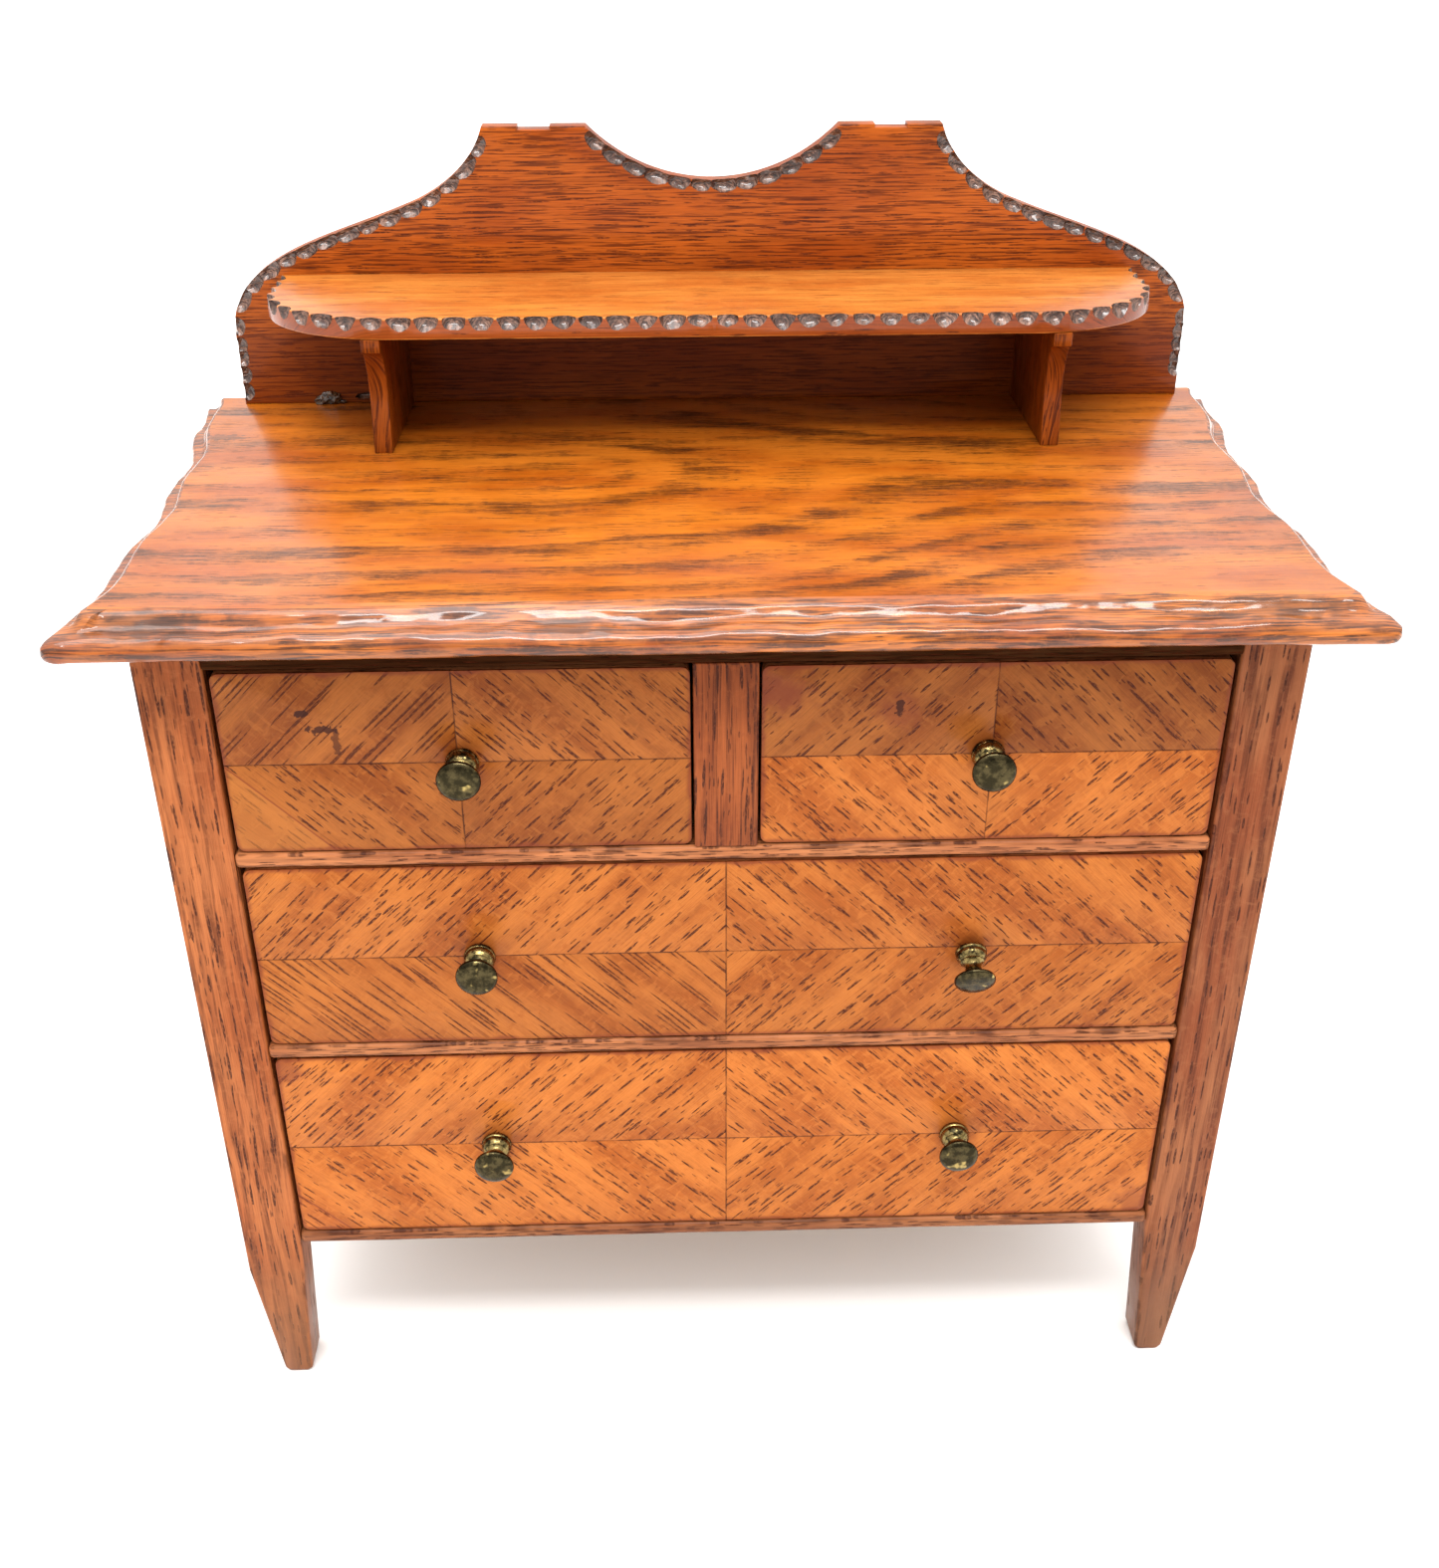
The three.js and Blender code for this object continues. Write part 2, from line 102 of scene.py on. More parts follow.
def make_world():
    """A soft white dome, brightest overhead."""
    world = bpy.data.worlds.new("studio")
    world.use_nodes = True
    tree = world.node_tree
    background = tree.nodes["Background"]
    background.inputs["Color"].default_value = (1.0, 0.99, 0.98, 1)
    place = tree.nodes.new("ShaderNodeTexCoord")
    split = tree.nodes.new("ShaderNodeSeparateXYZ")
    grade = tree.nodes.new("ShaderNodeMapRange")
    spread = {"From Min": -0.1, "From Max": 0.9, "To Min": HORIZON_LIGHT, "To Max": ZENITH_LIGHT}
    for key, value in spread.items():
        grade.inputs[key].default_value = value
    tree.links.new(place.outputs["Generated"], split.inputs[0])
    tree.links.new(split.outputs["Z"], grade.inputs["Value"])
    tree.links.new(grade.outputs[0], background.inputs["Strength"])
    bpy.context.scene.world = world


def make_stage():
    bpy.context.scene.view_settings.view_transform = "Standard"
    make_world()
    for light in LIGHTS:
        area_light(*light)
    mesh = bpy.data.meshes.new("floor")
    corners = [(FLOOR_HALF * a, FLOOR_HALF * b, 0) for a, b in ((-1, -1), (1, -1), (1, 1), (-1, 1))]
    mesh.from_pydata(corners, [], [(0, 1, 2, 3)])
    material = bpy.data.materials.new("floor_paper")
    material.use_nodes = True
    shader = material.node_tree.nodes["Principled BSDF"]
    shader.inputs["Base Color"].default_value = (0.92, 0.915, 0.905, 1)
    shader.inputs["Roughness"].default_value = 0.9
    mesh.materials.append(material)
    placed("floor", mesh)


# ---------------- node graphs
class Graph:
    """A material's node tree, with one short call for each kind of node."""

    def __init__(self, name):
        self.material = bpy.data.materials.new(name)
        self.material.use_nodes = True
        self.tree = self.material.node_tree
        self.shader = self.tree.nodes["Principled BSDF"]

    def node(self, kind, inputs=(), **settings):
        made = self.tree.nodes.new(kind)
        for key, value in settings.items():
            setattr(made, key, value)
        for key, value in dict(inputs).items():
            self.feed(made.inputs[key], value)
        return made

    def feed(self, socket, value):
        if isinstance(value, bpy.types.NodeSocket):
            self.tree.links.new(value, socket)
        elif value is not None:
            socket.default_value = value

    def math(self, operation, a, b=None, c=None):
        return self.node("ShaderNodeMath", {0: a, 1: b, 2: c}, operation=operation).outputs[0]

    def times(self, a, b):
        return self.math("MULTIPLY", a, b)

    def plus(self, a, b):
        return self.math("ADD", a, b)

    def minus(self, a, b):
        return self.math("SUBTRACT", a, b)

    def times_plus(self, a, b, c):
        return self.math("MULTIPLY_ADD", a, b, c)

    def vector(self, operation, a, b=None):
        made = self.node("ShaderNodeVectorMath", {0: a, 1: b}, operation=operation)
        return made.outputs["Value" if operation == "LENGTH" else "Vector"]

    def place(self):
        return self.node("ShaderNodeTexCoord").outputs["Object"]

    def millimetres(self):
        return self.vector("MULTIPLY", self.place(), (1 / MM, 1 / MM, 1 / MM))

    def split(self, vector):
        return self.node("ShaderNodeSeparateXYZ", {0: vector}).outputs

    def join(self, x, y, z=0):
        return self.node("ShaderNodeCombineXYZ", {0: x, 1: y, 2: z}).outputs[0]

    def step(self, value, low, high, out_low=0.0, out_high=1.0):
        """Smoothly from out_low to out_high as value goes from low to high."""
        inputs = {"Value": value, "From Min": low, "From Max": high, "To Min": out_low,
                  "To Max": out_high}
        return self.node("ShaderNodeMapRange", inputs, interpolation_type="SMOOTHSTEP").outputs[0]

    def noise(self, vector, detail=2.0, roughness=0.5, scale=1.0, distortion=0.0):
        inputs = {"Vector": vector, "Scale": scale, "Detail": detail, "Roughness": roughness,
                  "Distortion": distortion}
        return self.node("ShaderNodeTexNoise", inputs).outputs[0]

    def mix(self, factor, a, b, blend="MIX"):
        made = self.node("ShaderNodeMix", data_type="RGBA", blend_type=blend)
        self.feed(made.inputs["Factor"], factor)
        self.feed(made.inputs[6], a)
        self.feed(made.inputs[7], b)
        return made.outputs[2]

    def bump(self, height, depth, normal=None):
        inputs = {"Height": height, "Distance": depth, "Normal": normal}
        return self.node("ShaderNodeBump", inputs).outputs[0]


def rgb(red, green, blue):
    return (red, green, blue, 1.0)


# ---------------- oak
# Euler turns that bring the grain onto the wood's own X axis. The board's face is the wood's XY.
GRAIN_X_FLAT = (0, 0, 0)
GRAIN_X_UPRIGHT = (-math.pi / 2, 0, 0)
GRAIN_Z_FRONT = (math.pi / 2, 0, math.pi / 2)
GRAIN_Z_SIDE = (0, math.pi / 2, 0)
GRAIN_Y_SIDE = (-math.pi / 2, -math.pi / 2, 0)
GRAIN_Y_FLAT = (0, 0, -math.pi / 2)


class Board(Graph):
    """The graph of one oak board. In mm, u runs along the grain and v across it."""

    def __init__(self, name, look, turn, offset_mm):
        super().__init__(name)
        self.look = look
        inputs = {"Vector": self.place(), "Rotation": turn, "Scale": (1 / MM, 1 / MM, 1 / MM)}
        turned = self.node("ShaderNodeMapping", inputs, vector_type="POINT").outputs[0]
        self.p = self.vector("ADD", turned, offset_mm)
        self.u, across, depth = self.split(self.p)
        self.v = self.times_plus(depth, 0.8, across)

    def stretched(self, along_mm, across_mm, **settings):
        """Noise in patches of the given length and width."""
        u, v = self.math("DIVIDE", self.u, along_mm), self.math("DIVIDE", self.v, across_mm)
        return self.noise(self.join(u, v), **settings)


def pores(g, v, length_mm, gap_mm, density, fatness, seed):
    """Short dark dashes along the grain: 1 inside a pore, 0 elsewhere."""
    cell = g.join(g.times_plus(g.u, 1 / length_mm, seed), g.times_plus(v, 1 / gap_mm, 2 * seed))
    grid = g.node("ShaderNodeTexVoronoi", {"Vector": cell, "Scale": 1.0, "Randomness": 0.8},
                  voronoi_dimensions="2D")
    away = g.split(g.vector("SUBTRACT", cell, grid.outputs["Position"]))
    chance = g.split(grid.outputs["Color"])
    half_length = g.times_plus(chance[1], 0.32, 0.18)
    half_width = g.times_plus(chance[2], 0.5 * fatness, 0.5 * fatness)
    along_it = g.math("DIVIDE", away[0], half_length)
    across_it = g.math("DIVIDE", away[1], half_width)
    dash = g.step(g.vector("LENGTH", g.join(along_it, across_it)), 0.82, 1.1, 1.0, 0.0)
    return g.times(dash, g.math("LESS_THAN", chance[0], density))


def straight_field(g, u, v):
    """Distance across even, parallel rings."""
    return v


class Oak:
    """What sets one kind of oak surface apart from another."""

    def __init__(self, **changes):
        self.light = rgb(0.46, 0.12, 0.03)
        self.middle = rgb(0.34, 0.08, 0.02)
        self.dark = rgb(0.15, 0.03, 0.01)
        self.pore = rgb(0.045, 0.010, 0.004)
        self.field = straight_field    # distance across the rings, from (graph, u, v)
        self.wander_mm = 6.0
        self.ring_mm = 5.0
        self.ring_contrast = 0.35
        self.bands = None              # (place, strength, width) of single dark rings, in mm
        self.dashes = ((9.0, 2.0, 0.45, 0.24, 1.0),)  # length, gap, share, fatness, strength
        self.dash_gain = 0.3           # extra share of dashes inside dark rings
        self.wisps = (22.0, 1.5, 0.5)  # length, gap and strength of soft dark streaks
        self.wisp_share = 0.52         # lower means more of the surface is streaked
        self.wisp_gain = 0.0           # how much more is streaked inside dark rings
        self.wisp_blur = 0.12
        self.mottle = 0.0              # strength of small cloudy patches
        self.swell_mm = 0.5            # unevenness of the surface
        self.swell_span = (30, 18)     # its length along and across the grain, in mm
        self.rays = 0.0                # strength of pale flakes across the grain
        self.fibre = 0.16              # contrast of the finest lines
        self.fibre_mm = 16.0           # their length
        self.roughness = (0.28, 0.45)
        self.specular = 0.08
        self.coat = 0.07
        self.coat_roughness = 0.16
        self.bump_mm = 0.12
        self.dirt = 0.6                # strength of grime on worn edges
        self.stains = ()               # each is (function, its facts), painted in turn
        self.__dict__.update(changes)


def ring_profile(g, distance):
    """How far inside a dark ring a point is, from 0 to 1."""
    look = g.look
    if not look.bands:
        uneven = g.noise(g.join(0, g.times(distance, 0.06)), detail=1.0)
        distance = g.times_plus(uneven, 2.2 * look.ring_mm, distance)
        phase = g.math("FRACT", g.math("DIVIDE", distance, look.ring_mm))
        return g.times(g.step(phase, 0.0, 0.15), g.step(phase, 0.2, 0.75, 1.0, 0.0))
    inside = 0.0
    for place, strength, width in look.bands:
        away = g.minus(distance, place)
        bell = g.times(g.step(away, -0.35 * width, -0.1 * width),
                       g.step(away, 0.0, width, strength, 0.0))
        inside = g.math("MAXIMUM", inside, bell)
    return g.times(inside, g.step(g.stretched(46, 9, detail=3.0), 0.4, 0.58, 0.3, 1.0))


def ring_mask(g, slow):
    """Dark rings that wander slowly, with borders that jump along the grain."""
    look = g.look
    quick = g.minus(g.stretched(22, 6, detail=3.0), 0.5)
    shift = g.times_plus(slow, 2 * look.wander_mm, g.times(quick, 2.5))
    jump = g.minus(g.stretched(60, 0.9), 0.5)
    ring_u = g.times_plus(jump, 24.0, g.u)
    return ring_profile(g, look.field(g, ring_u, g.plus(g.v, shift)))


def all_pores(g, inside, slow):
    """Every kind of dash that the look has, in rows and denser inside the rings."""
    look = g.look
    rows = g.step(g.stretched(70, 3.2), 0.35, 0.65, 0.4, 1.5)
    ragged = g.step(g.stretched(1.3, 0.4), 0.35, 0.55, 0.45, 1.0)
    dash_v = g.times_plus(slow, 0.8 * look.wander_mm, g.v)
    holes = 0.0
    for k, (length, gap, share, fatness, strength) in enumerate(look.dashes):
        density = g.times(g.times_plus(inside, look.dash_gain, share), rows)
        dash = pores(g, dash_v, length, gap, density, fatness, 1.7 + 7.4 * k)
        holes = g.math("MAXIMUM", holes, g.times(g.times(dash, ragged), strength))
    return holes


def wood_colour(g, inside, fibre):
    """Slow patches, rings, streaks, fibres, then cloudy patches and pale flakes."""
    look = g.look
    cloud = g.stretched(55, 18, detail=3.0)
    colour = g.mix(g.step(cloud, 0.375, 0.66), look.light, look.middle)
    colour = g.mix(g.times(inside, look.ring_contrast), colour, look.dark)
    length, gap, strength = look.wisps
    edge = g.times_plus(inside, -look.wisp_gain, look.wisp_share)
    wisp = g.step(g.stretched(length, gap, detail=3.0, roughness=0.6), edge,
                  g.plus(edge, look.wisp_blur))
    colour = g.mix(g.times(wisp, strength), colour, look.dark)
    tone = g.step(fibre, 0.3, 0.7, 1 - look.fibre, 1 + look.fibre)
    tinted = g.node("ShaderNodeCombineColor", {0: tone, 1: tone, 2: tone}).outputs[0]
    colour = g.mix(1.0, colour, tinted, blend="MULTIPLY")
    if look.mottle:
        patch = g.noise(g.p, detail=4.0, roughness=0.7, scale=0.3, distortion=0.6)
        colour = g.mix(g.step(patch, 0.48, 0.68, 0.0, look.mottle), colour, look.light)
        colour = g.mix(g.step(patch, 0.3, 0.46, look.mottle, 0.0), colour, look.middle)
    if look.rays:
        flake = g.stretched(2.6, 9, detail=3.0, roughness=0.6, distortion=1.2)
        colour = g.mix(g.step(flake, 0.54, 0.64, 0.0, look.rays), colour, look.light)
    return colour


def worn(g, colour):
    """Handled edges: rubbed paler in places, dark with grime in others."""
    wear = g.node("ShaderNodeAttribute", attribute_name="wear").outputs["Fac"]
    rub = g.stretched(14, 4, detail=4.0)
    colour = g.mix(g.times(wear, g.step(rub, 0.5, 0.62, 0.0, 0.35)), colour, g.look.light)
    return g.mix(g.times(wear, g.step(rub, 0.36, 0.5, g.look.dirt, 0.0)), colour, g.look.pore)


def oak_material(name, look, turn, offset_mm=(0, 0, 0)):
    """The offset keeps two boards from showing the same grain."""
    g = Board(name, look, turn, offset_mm)
    slow = g.minus(g.stretched(90, 32), 0.5)
    inside = ring_mask(g, slow)
    holes = all_pores(g, inside, slow)
    fibre = g.stretched(look.fibre_mm, 0.35, detail=3.0, roughness=0.7)
    colour = g.mix(g.times(holes, 0.95), wood_colour(g, inside, fibre), look.pore)
    place = g.millimetres()
    for paint, *facts in look.stains:
        colour = paint(g, colour, place, *facts)

    low, high = look.roughness
    smear = g.step(g.noise(g.p, detail=3.0, scale=0.05), 0.3, 0.7, low, high)
    grooves = g.minus(g.times(fibre, 0.25), holes)
    swell = g.stretched(*look.swell_span, detail=1.0)
    g.feed(g.shader.inputs["Base Color"], worn(g, colour))
    g.feed(g.shader.inputs["Roughness"], g.times_plus(holes, 0.2, smear))
    g.feed(g.shader.inputs["Normal"],
           g.bump(grooves, look.bump_mm * MM, g.bump(swell, look.swell_mm * MM)))
    g.shader.inputs["Specular IOR Level"].default_value = look.specular
    g.shader.inputs["Coat Weight"].default_value = look.coat
    g.shader.inputs["Coat Roughness"].default_value = look.coat_roughness
    return g.material


# ---------------- mesh helpers
PLANED_WAVE_MM = 18.0
PLANED_CUT_MM = 14.0


def object_from(name, bm, materials):
    mesh = bpy.data.meshes.new(name)
    bm.to_mesh(mesh)
    bm.free()
    for material in materials:
        mesh.materials.append(material)
    return placed(name, mesh)


def finish_mesh(name, bm, materials, sharp_degrees=35):
    """A smooth-shaded object from a bmesh, with creases kept where faces meet at an angle."""
    bmesh.ops.recalc_face_normals(bm, faces=bm.faces)
    limit = math.radians(sharp_degrees)
    for face in bm.faces:
        face.smooth = True
    for edge in bm.edges:
        edge.smooth = edge.is_manifold and edge.calc_face_angle() < limit
    return object_from(name, bm, materials)


def stand_for(piece, body, slot, *nodes):
    """Hands a piece to the frame, in place of the CAD nodes."""
    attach(piece, body)
    if nodes:
        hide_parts(*nodes)


def ease_edges(bm, edges, width, segments=2):
    """Rounds edges and marks the rounded faces as worn."""
    wear = bm.faces.layers.float["wear"]
    made = bmesh.ops.bevel(bm, geom=edges, offset=width, segments=segments, profile=0.5,
                           affect="EDGES", clamp_overlap=True)
    for face in made["faces"]:
        face[wear] = 1.0


def eased_node(node, body, slot, material, width_mm=0.5, segments=2, uneven_mm=0.0):
    """A CAD board again, with its edges rounded by hand wear and slightly uneven faces."""
    bm = bmesh.new()
    bm.from_mesh(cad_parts[node].data)
    bmesh.ops.remove_doubles(bm, verts=bm.verts, dist=1e-6)
    bmesh.ops.dissolve_limit(bm, angle_limit=0.01, verts=bm.verts, edges=bm.edges)
    bm.faces.layers.float.new("wear")
    sharp = [e for e in bm.edges if e.is_manifold and e.calc_face_angle() > 0.6]
    ease_edges(bm, sharp, width_mm * MM, segments)
    if uneven_mm:
        roughen(bm, uneven_mm)
    stand_for(finish_mesh(f"{node}_eased", bm, [material]), body, slot, node)


def roughen(bm, amount_mm):
    """Cuts long faces into short stretches and pushes them in a little, like hand planing."""
    lows, highs = ([pick(v.co[i] for v in bm.verts) for i in range(3)] for pick in (min, max))
    spans = [high - low for low, high in zip(lows, highs)]
    axis = spans.index(max(spans))
    count = int(spans[axis] / (PLANED_CUT_MM * MM))
    direction = Vector((0, 0, 0))
    direction[axis] = 1
    for i in range(1, count):
        everything = list(bm.verts) + list(bm.edges) + list(bm.faces)
        place = direction * (lows[axis] + spans[axis] * i / count)
        bmesh.ops.bisect_plane(bm, geom=everything, plane_co=place, plane_no=direction)
    middle = Vector((low + high) / 2 for low, high in zip(lows, highs))
    for vert in bm.verts:
        sample = noise.noise(vert.co / (PLANED_WAVE_MM * MM)) * 0.5 + 0.5
        inward = middle - vert.co
        inward[axis] = 0
        vert.co += inward.normalized() * sample * amount_mm * MM


def turned(name, profile_mm, segments, material):
    """A body of revolution about the Y axis from (radius, y) pairs, both ends on the axis."""
    bm = bmesh.new()
    rings = []
    for radius, y in profile_mm:
        angles = [2 * math.pi * k / segments for k in range(segments if radius else 1)]
        rings.append([bm.verts.new((radius * MM * math.cos(a), y * MM,
                                    radius * MM * math.sin(a))) for a in angles])
    for lower, upper in zip(rings, rings[1:]):
        for k in range(segments):
            a, b = lower[k % len(lower)], lower[(k + 1) % len(lower)]
            c, d = upper[(k + 1) % len(upper)], upper[k % len(upper)]
            bm.faces.new(list(dict.fromkeys((a, b, c, d))))
    return finish_mesh(name, bm, [material], sharp_degrees=50)


def piece_from(obj):
    """Gives an object the mesh that its modifiers make, and removes them."""
    graph = bpy.context.evaluated_depsgraph_get()
    result = bpy.data.meshes.new_from_object(obj.evaluated_get(graph))
    obj.modifiers.clear()
    obj.data = result


def extruded(outline, to_point, name, materials, ease_mm=0.4, rim_material=0):
    """A board with the given outline. to_point(a, b, side) places outline point (a, b)."""
    bm = bmesh.new()
    bm.faces.layers.float.new("wear")
    faces = [bm.faces.new([bm.verts.new(to_point(a, b, side)) for a, b in outline])
             for side in (0, 1)]
    near, far = (list(face.verts) for face in faces)
    for k in range(len(outline)):
        n = (k + 1) % len(outline)
        rim = bm.faces.new((near[k], near[n], far[n], far[k]))
        rim.material_index = rim_material
    bmesh.ops.recalc_face_normals(bm, faces=bm.faces)
    ease_edges(bm, [e for face in faces for e in face.edges], ease_mm * MM)
    return finish_mesh(name, bm, materials)


def along(points, pitch, start=0.0, stop=None):
    """Evenly spaced (place, direction) pairs along a line of 2-D points."""
    lengths = [0.0]
    for a, b in zip(points, points[1:]):
        lengths.append(lengths[-1] + math.dist(a, b))
    stop = lengths[-1] if stop is None else stop
    count = max(1, round((stop - start) / pitch))
    found = []
    for k in range(count):
        want = start + (stop - start) * (k + 0.5) / count
        i = max(j for j in range(len(points) - 1) if lengths[j] <= want)
        a, b = Vector(points[i]), Vector(points[i + 1])
        span = max(lengths[i + 1] - lengths[i], 1e-9)
        found.append((a.lerp(b, (want - lengths[i]) / span), (b - a).normalized()))
    return found


def gouge_mesh(cutters, material):
    """Uneven ellipsoids, each from a (centre, three half-axis vectors) pair in metres."""
    bm = bmesh.new()
    for centre, axes in cutters:
        made = bmesh.ops.create_uvsphere(bm, u_segments=20, v_segments=12, radius=1.0)
        matrix = Matrix(axes).transposed()
        for vert in made["verts"]:
            uneven = 1 + 0.16 * noise.noise(vert.co * 1.6 + centre * 700)
            vert.co = matrix @ (vert.co * uneven) + centre
        if matrix.determinant() < 0:
            faces = {f for v in made["verts"] for f in v.link_faces}
            bmesh.ops.reverse_faces(bm, faces=list(faces))
    return object_from("gouge", bm, [material])


def cut_scoops(board, cutters):
    """Cuts gouge marks, every other one first, so that neighbouring cutters don't overlap."""
    for parity in (0, 1):
        cutter = gouge_mesh(cutters[parity::2], board.data.materials[-1])
        cut = board.modifiers.new("cut", "BOOLEAN")
        cut.operation = "DIFFERENCE"
        cut.solver = "MANIFOLD"
        cut.material_mode = "TRANSFER"
        cut.object = cutter
        piece_from(board)
        bpy.data.objects.remove(cutter)
    for polygon in board.data.polygons:
        polygon.use_smooth = True
    board.data.set_sharp_from_angle(angle=math.radians(40))


# ---------------- top board
TOP_LOW, TOP_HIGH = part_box("top_board")
NOSE_CORNER_MM = 3.5
COVE_FRONT_MM = 8.5
COVE_SIDE_MM = 6.25
WAIST_MM = 159.25              # half the top's width at its waist
FLARE = 0.0008                 # how fast the sides widen away from the waist
EAR_MM, EAR_LENGTH_MM = 2.5, 16
SCALLOP_MM, SCALLOP_PITCH_MM = 1.1, 50
SIDE_STEPS, CORNER_STEPS, FRONT_STEPS = 84, 6, 190
# (share of the cove's inset, height above the underside in mm), from the underside to the field
TOP_PROFILE = (
    (0.30, 0.0), (0.12, 0.3), (0.03, 1.2), (0.0, 2.8), (0.03, 4.6), (0.12, 6.0), (0.26, 6.8),
    (0.42, 6.95), (0.55, 6.95), (0.67, 7.2), (0.77, 8.0), (0.86, 9.05), (0.96, 9.75), (1.1, 10.0),
)


def top_half_width(y):
    """Half width over the nose at a depth, in mm: a waisted side with shallow scallops."""
    ear = EAR_MM * max(0.0, 1 - (y - TOP_LOW.y / MM) / EAR_LENGTH_MM) ** 2
    scallop = SCALLOP_MM * math.cos(2 * math.pi * (y + 12) / SCALLOP_PITCH_MM)
    return WAIST_MM + FLARE * (y + 20) ** 2 + ear - scallop


def top_outline(share):
    """The plan outline in mm from the back left, along the front, to the back right."""
    back = TOP_HIGH.y / MM
    front = TOP_LOW.y / MM + share * COVE_FRONT_MM
    corner = NOSE_CORNER_MM
    half = []
    for k in range(SIDE_STEPS + 1):
        y = back + (front + corner - back) * k / SIDE_STEPS
        inset = share * COVE_SIDE_MM + 0.35 * wave(y, 7.0, share)
        half.append((top_half_width(y) - inset, y))
    end_x = half[-1][0] - corner
    for k in range(1, CORNER_STEPS):
        angle = math.pi / 2 * k / CORNER_STEPS
        half.append((end_x + corner * math.cos(angle), front + corner * (1 - math.sin(angle))))
    middle = []
    for k in range(1, FRONT_STEPS):
        x = end_x * (2 * k / FRONT_STEPS - 1)
        middle.append((x, front + front_wave(x, share)))
    return [(-x, y) for x, y in half] + [(-end_x, front)] + middle + [(end_x, front)] + half[::-1]


def wave(x, scale, seed):
    return noise.noise(Vector((x / scale, 3.3 * round(seed, 1), 0))) + 1


def front_wave(x, share):
    """How far the front edge wanders inwards at x, in mm: shallow, uneven hand-cut waves."""
    end = min(1.0, (170 - abs(x)) / 30)
    slow = 0.5 + 0.5 * math.sin(x / 13.5 + 1.2 * math.sin(x / 41))
    nose_part = 0.25 * wave(x, 16, 0)
    return end * (nose_part + (0.3 + 1.9 * share) * slow + 0.35 * wave(x, 9, 1 + share))


def moulding_wave(x, y, height):
    """How far the hand-worked moulding dips at a place, none at the underside and the field."""
    fade = min(1.0, height / 3.0, max(0.0, (10.0 - height) / 1.5))
    long_wave = noise.noise(Vector((x / 19, y / 19, 0.4 * height)))
    short_wave = noise.noise(Vector((x / 6, y / 6, height)))
    return fade * (1.3 + 1.3 * long_wave + 0.7 * short_wave)


def build_top(material, edge_material):
    bm = bmesh.new()
    wear = bm.faces.layers.float.new("wear")
    rings = []
    for share, height in TOP_PROFILE:
        ring = []
        for x, y in top_outline(share):
            droop = 0.6 * moulding_wave(x, y, height)
            z = TOP_LOW.z + (height - droop) * MM
            ring.append(bm.verts.new((x * MM, y * MM, max(z, TOP_LOW.z))))
        rings.append(ring)
    for k, (lower, upper) in enumerate(zip(rings, rings[1:])):
        for a, b, c, d in zip(lower, lower[1:], upper[1:], upper):
            face = bm.faces.new((a, b, c, d))
            face[wear] = 1.0 if 2 <= k else 0.6
            face.material_index = 1
    bm.faces.new(rings[0])
    bm.faces.new(rings[-1])
    bm.faces.new([ring[0] for ring in rings] + [ring[-1] for ring in reversed(rings)])
    piece = finish_mesh("top_board_moulded", bm, [material, edge_material], sharp_degrees=50)
    stand_for(piece, CASE, "oak_top", "top_board")


# ---------------- gallery, shelf and brackets
GALLERY_LOW, GALLERY_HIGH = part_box("gallery_backboard")
SHELF_LOW, SHELF_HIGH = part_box("gallery_shelf")
SHOULDER_Z_MM = 298
SWEEP_MM = (96.5, 336.5)       # where the flank's curve turns from round to hollow
LUG_MM, LUG_STEP_MM = 70.5, (59.75, 49.75)  # a lug's outer end, and the step in its top
DIP_RADIUS_MM, DIP_HALF_MM = 55.5, 39       # the round dip between the lugs
GOUGE_PITCH_MM = 7.1
GOUGE_TALL_MM = 1.75
SIDE_GOUGE_MM = (3.2, 1.5)     # width and height of the gouges up the straight sides
GOUGE_LIFT_MM = 1.0            # how far a gouge's centre is outside the board
SHELF_END_MM = (42, 36)        # the elliptical ends: width and depth
SCOOP_PITCH_MM = 7.9
SCOOP_MM = (2.2, 3.6)          # how far a scoop reaches in and down
SCOOP_LIFT_MM = 0.9
NICK_X_MM = -112.5
GLUE_X_MM = -124.5
GLUE_BLOBS = 16


def bezier(a, b, c, d, count=24):
    points = []
    for k in range(1, count + 1):
        t, s = k / count, 1 - k / count
        shares = (s ** 3, 3 * s * s * t, 3 * s * t * t, t ** 3)
        points.append(tuple(sum(share * p[i] for share, p in zip(shares, (a, b, c, d)))
                            for i in range(2)))
    return points


def total(points):
    return sum(math.dist(a, b) for a, b in zip(points, points[1:]))


def gallery_parts():
    """The right half of the outline in mm: the flank from the bottom, the lug, and the dip."""
    bottom, top = GALLERY_LOW.z / MM, GALLERY_HIGH.z / MM
    half = (GALLERY_HIGH.x - GALLERY_LOW.x) / 2 / MM
    shoulder = (half, SHOULDER_Z_MM)
    rise = [(half, bottom + (SHOULDER_Z_MM - bottom) * k / 12) for k in range(13)]
    flank = [shoulder] + bezier(shoulder, (half, 321.5), (122, 326.5), SWEEP_MM)
    flank += bezier(SWEEP_MM, (85, 340.5), (74, 349), (LUG_MM, top))
    outer, inner = LUG_STEP_MM
    lug = [(outer, top), (outer, top - 1), (inner, top - 1), (inner, top)]
    half_angle = math.asin(DIP_HALF_MM / DIP_RADIUS_MM)
    centre = top + DIP_RADIUS_MM * math.cos(half_angle)
    angles = [half_angle * (1 - k / 24) for k in range(25)]
    dip = [(DIP_RADIUS_MM * math.sin(a), centre - DIP_RADIUS_MM * math.cos(a)) for a in angles]
    return rise, flank, lug, dip


def mirrored(half):
    """A half line and its mirror image, where the last point is on the middle."""
    return half + [(-a, b) for a, b in half[-2::-1]]


